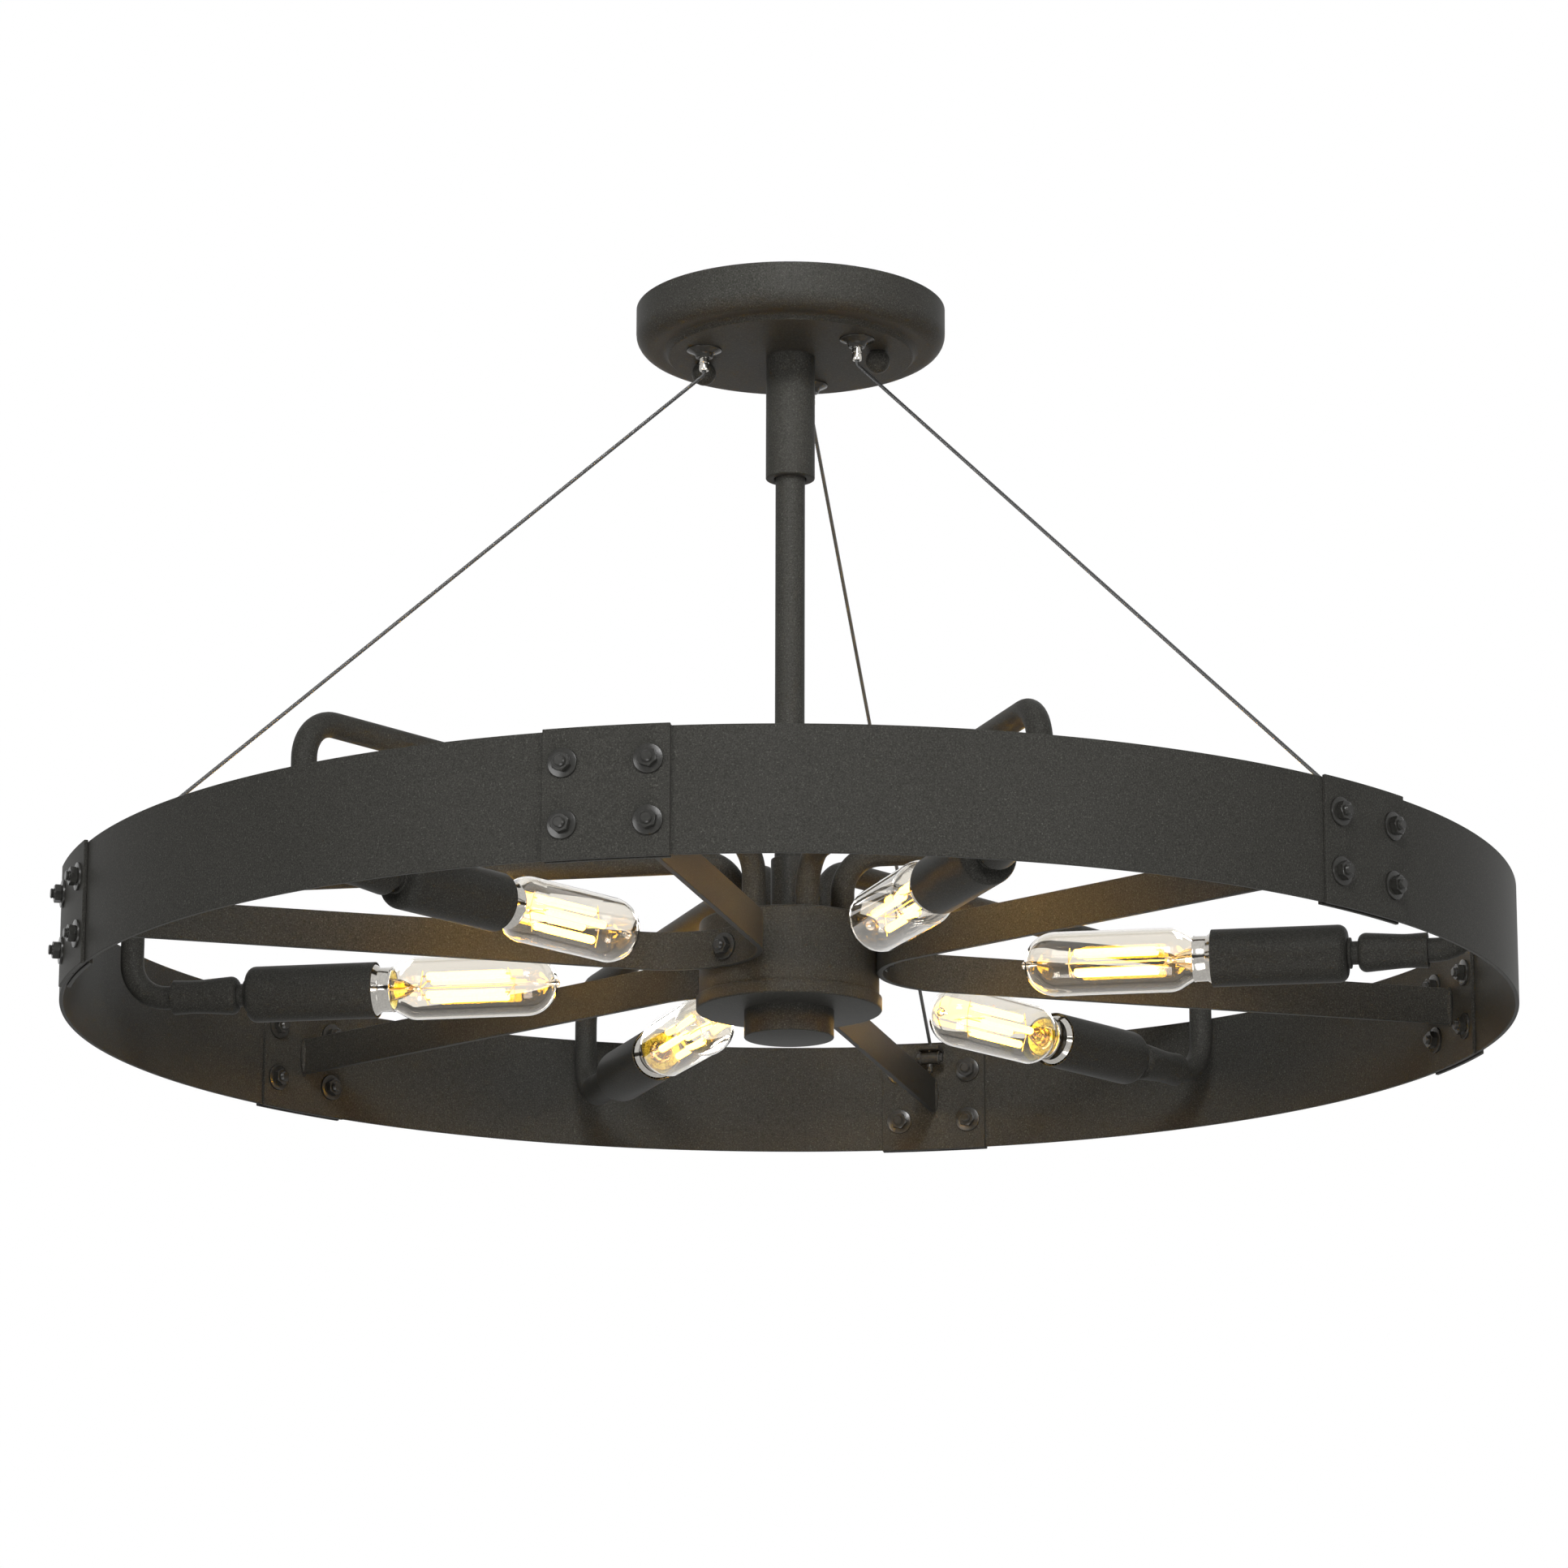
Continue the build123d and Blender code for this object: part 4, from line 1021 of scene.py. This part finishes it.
class CEILINGLIGHT_OT_cables(bpy.types.Operator):
    """Builds the cones, nozzles, twisted cables, locks and end sleeves"""

    bl_idname = "ceilinglight.cables"
    bl_label = "Cables"

    def execute(self, context):
        places = around(CABLE_ANGLES)
        cone = turned("cone", [
            (2.8, -29.6), (4.2, -29.6, 0.4), (4.9, -27.6, 2), (8.9, -25.8, 0.3), (8.9, -25), (4.4, -25),
            (4.4, -16), (3.7, -16), (3.7, -20), (2.8, -20)], segments=56, closed=True, steps=3)
        place(cone, Matrix.Translation((CABLE_TOP_R * MM, 0, 0)))
        cones = joined("cones", copies(cone, places))
        painted(cones, "cable_cones", enamel())
        nozzle = turned("nozzle", [
            (1.3, -36.5), (2.3, -36.5, 0.4), (2.5, -35.2), (2.5, -33.4), (2.2, -33.1), (2.2, -32.5),
            (2.5, -32.2), (2.5, -20), (3.4, -20), (3.4, -18.8), (1.3, -18.8)], segments=36, closed=True)
        place(nozzle, Matrix.Translation((CABLE_TOP_R * MM, 0, 0)))
        for number, piece in numbered(copies(nozzle, places), "nozzle"):
            dress(piece, nickel(), f"nozzle_{number}", "nickel", f"cable_nozzle_{number}")
        for number, piece in numbered(copies(self.rope(), places), "rope"):
            dress(piece, material_of("wire_rope", wire_rope), "fixture", "wire_rope", f"cable_{number}")
        locks = joined("locks", copies(self.lock(), places))
        painted(locks, "cable_locks", enamel())
        return {"FINISHED"}

    def rope(self):
        """Six strands laid round each other, run along the cable's line."""
        line, length = cable_line()
        strand_r, lay_r = sizes().cable_radius * 0.44, sizes().cable_radius * 0.56
        pitch = 8 * MM
        strands = []
        for index in range(6):
            angle = pi / 3 * index
            bpy.ops.mesh.primitive_circle_add(
                vertices=6, radius=strand_r, location=(0, lay_r * cos(angle), lay_r * sin(angle)),
                rotation=(0, pi / 2, 0))
            strands.append(bpy.context.object)
        rope = joined("rope", strands)
        settle()
        turns = round(length / pitch)
        apply_modifier(
            rope, "SCREW", axis="X", angle=2 * pi, iterations=turns, screw_offset=length / turns, steps=9,
            render_steps=9)
        bpy.ops.object.mode_set(mode="EDIT")
        merge_all(1e-7)
        bpy.ops.mesh.fill_holes(sides=8)
        close_up(rope, 80)
        apply_modifier(rope, "CURVE", object=line, deform_axis="POS_X")
        select_only(line)
        bpy.ops.object.delete()
        return rope

    def lock(self):
        """The barrel under a tab, with its flanges and socket screws, and the crimped sleeve below it."""
        level = -321.65
        half = [
            (0, 6.5), (1.2, 6.5), (1.2, 7.3, 0.1), (2.4, 7.3, 0.8), (2.4, 5.5), (4.0, 5.5, 0.3),
            (4.0, 4.4, 0.3), (3.4, 4.4)]
        barrel = turned("barrel", half + [(r, -z, *edge) for r, z, *edge in reversed(half)], segments=40)
        seat = Matrix.Translation((CABLE_FOOT_R * MM, 0, level * MM))
        place(barrel, seat @ Matrix.Rotation(pi / 2, 4, "X"))
        sleeve = turned("end_sleeve", [
            (1.02, -329.7), (1.9, -329.7, 0.3), (1.9, -328.2), (1.6, -327.7), (1.6, -327.1), (1.9, -326.6),
            (1.9, -325.1, 0.3), (1.02, -325.1)], segments=28, closed=True)
        place(sleeve, Matrix.Translation((CABLE_FOOT_R * MM, 0, 0)))
        return joined("lock", [barrel, sleeve])


# Stage

class CEILINGLIGHT_OT_stage(bpy.types.Operator):
    """Builds the pale floor, the soft lamps, the pale surroundings and the camera"""

    bl_idname = "ceilinglight.stage"
    bl_label = "Stage"

    def execute(self, context):
        scene = context.scene
        scene.view_settings.view_transform = "Standard"
        camera_data = bpy.data.cameras.new("camera")
        camera = bpy.data.objects.new("camera", camera_data)
        scene.collection.objects.link(camera)
        scene.camera = camera
        sensor, focal_pixels, frame_pixels = 36, 7398.679, 1932
        camera_data.sensor_width = sensor
        camera_data.lens = focal_pixels / frame_pixels * sensor
        heading, swing, rise, roll = radians(13), radians(0.055), radians(90 + 13.992), radians(0.142)
        camera.matrix_world = (
            Matrix.Rotation(heading, 4, "Z") @ Matrix.Translation((0, -2.9287, -0.9794))
            @ Matrix.Rotation(swing, 4, "Z") @ Matrix.Rotation(rise, 4, "X") @ Matrix.Rotation(roll, 4, "Z"))

        bpy.ops.mesh.primitive_plane_add(size=30, location=(0, 0, -3.6))
        floor = bpy.context.object
        floor.name = "floor"
        floor.data.materials.append(self.floor_material())

        wheel, canopy, wide, narrow = -0.3, 0.06, 180, 26
        for name, place_at, size, energy, aim, spread in (
                ("left_lamp", (-1.2, -2.1, -0.3), 0.8, 21, wheel, wide),
                ("right_lamp", (1.9, -1.6, -0.3), 0.8, 22, wheel, wide),
                ("high_lamp", (0.5, -2.4, 0.9), 0.9, 35, wheel, wide),
                ("low_lamp", (0.3, -0.9, -1.5), 0.8, 10, wheel, wide),
                ("canopy_lamp", (0.5, -2.2, 0.7), 0.3, 0.8, canopy, narrow),
                ("back_left_lamp", (-1.42, 2.18, 0.3), 0.9, 30, wheel, wide),
                ("back_right_lamp", (0.32, 2.58, 0.3), 0.9, 30, wheel, wide)):
            data = bpy.data.lights.new(name, "AREA")
            data.size = size
            data.energy = energy
            data.spread = radians(spread)
            lamp = bpy.data.objects.new(name, data)
            lamp.visible_glossy = not name.startswith("back")
            scene.collection.objects.link(lamp)
            lamp.location = place_at
            lamp.rotation_euler = (Vector((0, 0, aim)) - lamp.location).to_track_quat("-Z", "Y").to_euler()
        self.pale_surroundings(scene)
        return {"FINISHED"}

    def camera_share(self, nodes, links):
        """One for rays from the camera, from gloss and through glass."""
        rays = nodes.new("ShaderNodeLightPath")
        so_far = rays.outputs["Is Camera Ray"]
        for kind in ("Is Glossy Ray", "Is Transmission Ray"):
            larger = nodes.new("ShaderNodeMath")
            larger.operation = "MAXIMUM"
            links.new(so_far, larger.inputs[0])
            links.new(rays.outputs[kind], larger.inputs[1])
            so_far = larger.outputs[0]
        return so_far

    def floor_material(self):
        material, nodes, links, shader = new_material("pale_floor")
        put(shader, {"Base Color": (0.4, 0.4, 0.4, 1), "Roughness": 0.9})
        glow = nodes.new("ShaderNodeEmission")
        put(glow, {"Strength": 0.96})
        mix = nodes.new("ShaderNodeMixShader")
        share = nodes.new("ShaderNodeMath")
        share.operation = "MULTIPLY"
        share.inputs[1].default_value = 0.8
        links.new(self.camera_share(nodes, links), share.inputs[0])
        links.new(share.outputs[0], mix.inputs[0])
        links.new(shader.outputs[0], mix.inputs[1])
        links.new(glow.outputs[0], mix.inputs[2])
        links.new(mix.outputs[0], nodes["Material Output"].inputs["Surface"])
        return material

    def pale_surroundings(self, scene):
        world = bpy.data.worlds.new("pale_surroundings")
        scene.world = world
        world.use_nodes = True
        nodes, links = world.node_tree.nodes, world.node_tree.links
        room = nodes["Background"]
        put(room, {"Color": (1, 1, 1, 1), "Strength": 0.005})
        seen = nodes.new("ShaderNodeBackground")
        put(seen, {"Color": (1, 1, 1, 1), "Strength": 1})
        mix = nodes.new("ShaderNodeMixShader")
        links.new(self.camera_share(nodes, links), mix.inputs[0])
        links.new(room.outputs[0], mix.inputs[1])
        links.new(seen.outputs[0], mix.inputs[2])
        links.new(mix.outputs[0], nodes["World Output"].inputs["Surface"])


OPERATORS = (
    CEILINGLIGHT_OT_stage,
    CEILINGLIGHT_OT_canopy,
    CEILINGLIGHT_OT_stem,
    CEILINGLIGHT_OT_hub,
    CEILINGLIGHT_OT_arms,
    CEILINGLIGHT_OT_sockets,
    CEILINGLIGHT_OT_lamps,
    CEILINGLIGHT_OT_rim,
    CEILINGLIGHT_OT_bolts,
    CEILINGLIGHT_OT_spokes,
    CEILINGLIGHT_OT_cables,
)


class CEILINGLIGHT_PT_panel(bpy.types.Panel):
    """Lists the sizes, the finishes and the pieces"""

    bl_idname = "CEILINGLIGHT_PT_panel"
    bl_label = "Ceiling light"
    bl_space_type = "VIEW_3D"
    bl_region_type = "UI"
    bl_category = "Ceiling light"

    def draw(self, context):
        layout = self.layout
        for group in (context.scene.ceiling_light_sizes, context.scene.ceiling_light_finishes):
            column = layout.column(align=True)
            for key in group.bl_rna.properties.keys():
                if key not in ("rna_type", "name"):
                    column.prop(group, key)
        for operator in OPERATORS:
            layout.operator(operator.bl_idname)


CLASSES = (CeilingLightSizes, CeilingLightFinishes) + OPERATORS + (CEILINGLIGHT_PT_panel,)


def register():
    for one in CLASSES:
        bpy.utils.register_class(one)
    bpy.types.Scene.ceiling_light_sizes = bpy.props.PointerProperty(type=CeilingLightSizes)
    bpy.types.Scene.ceiling_light_finishes = bpy.props.PointerProperty(type=CeilingLightFinishes)


def unregister():
    del bpy.types.Scene.ceiling_light_finishes
    del bpy.types.Scene.ceiling_light_sizes
    for one in reversed(CLASSES):
        bpy.utils.unregister_class(one)


def main():
    register()
    for operator in OPERATORS:
        getattr(bpy.ops.ceilinglight, operator.bl_idname.split(".")[1])()


if __name__ == "__main__":
    main()
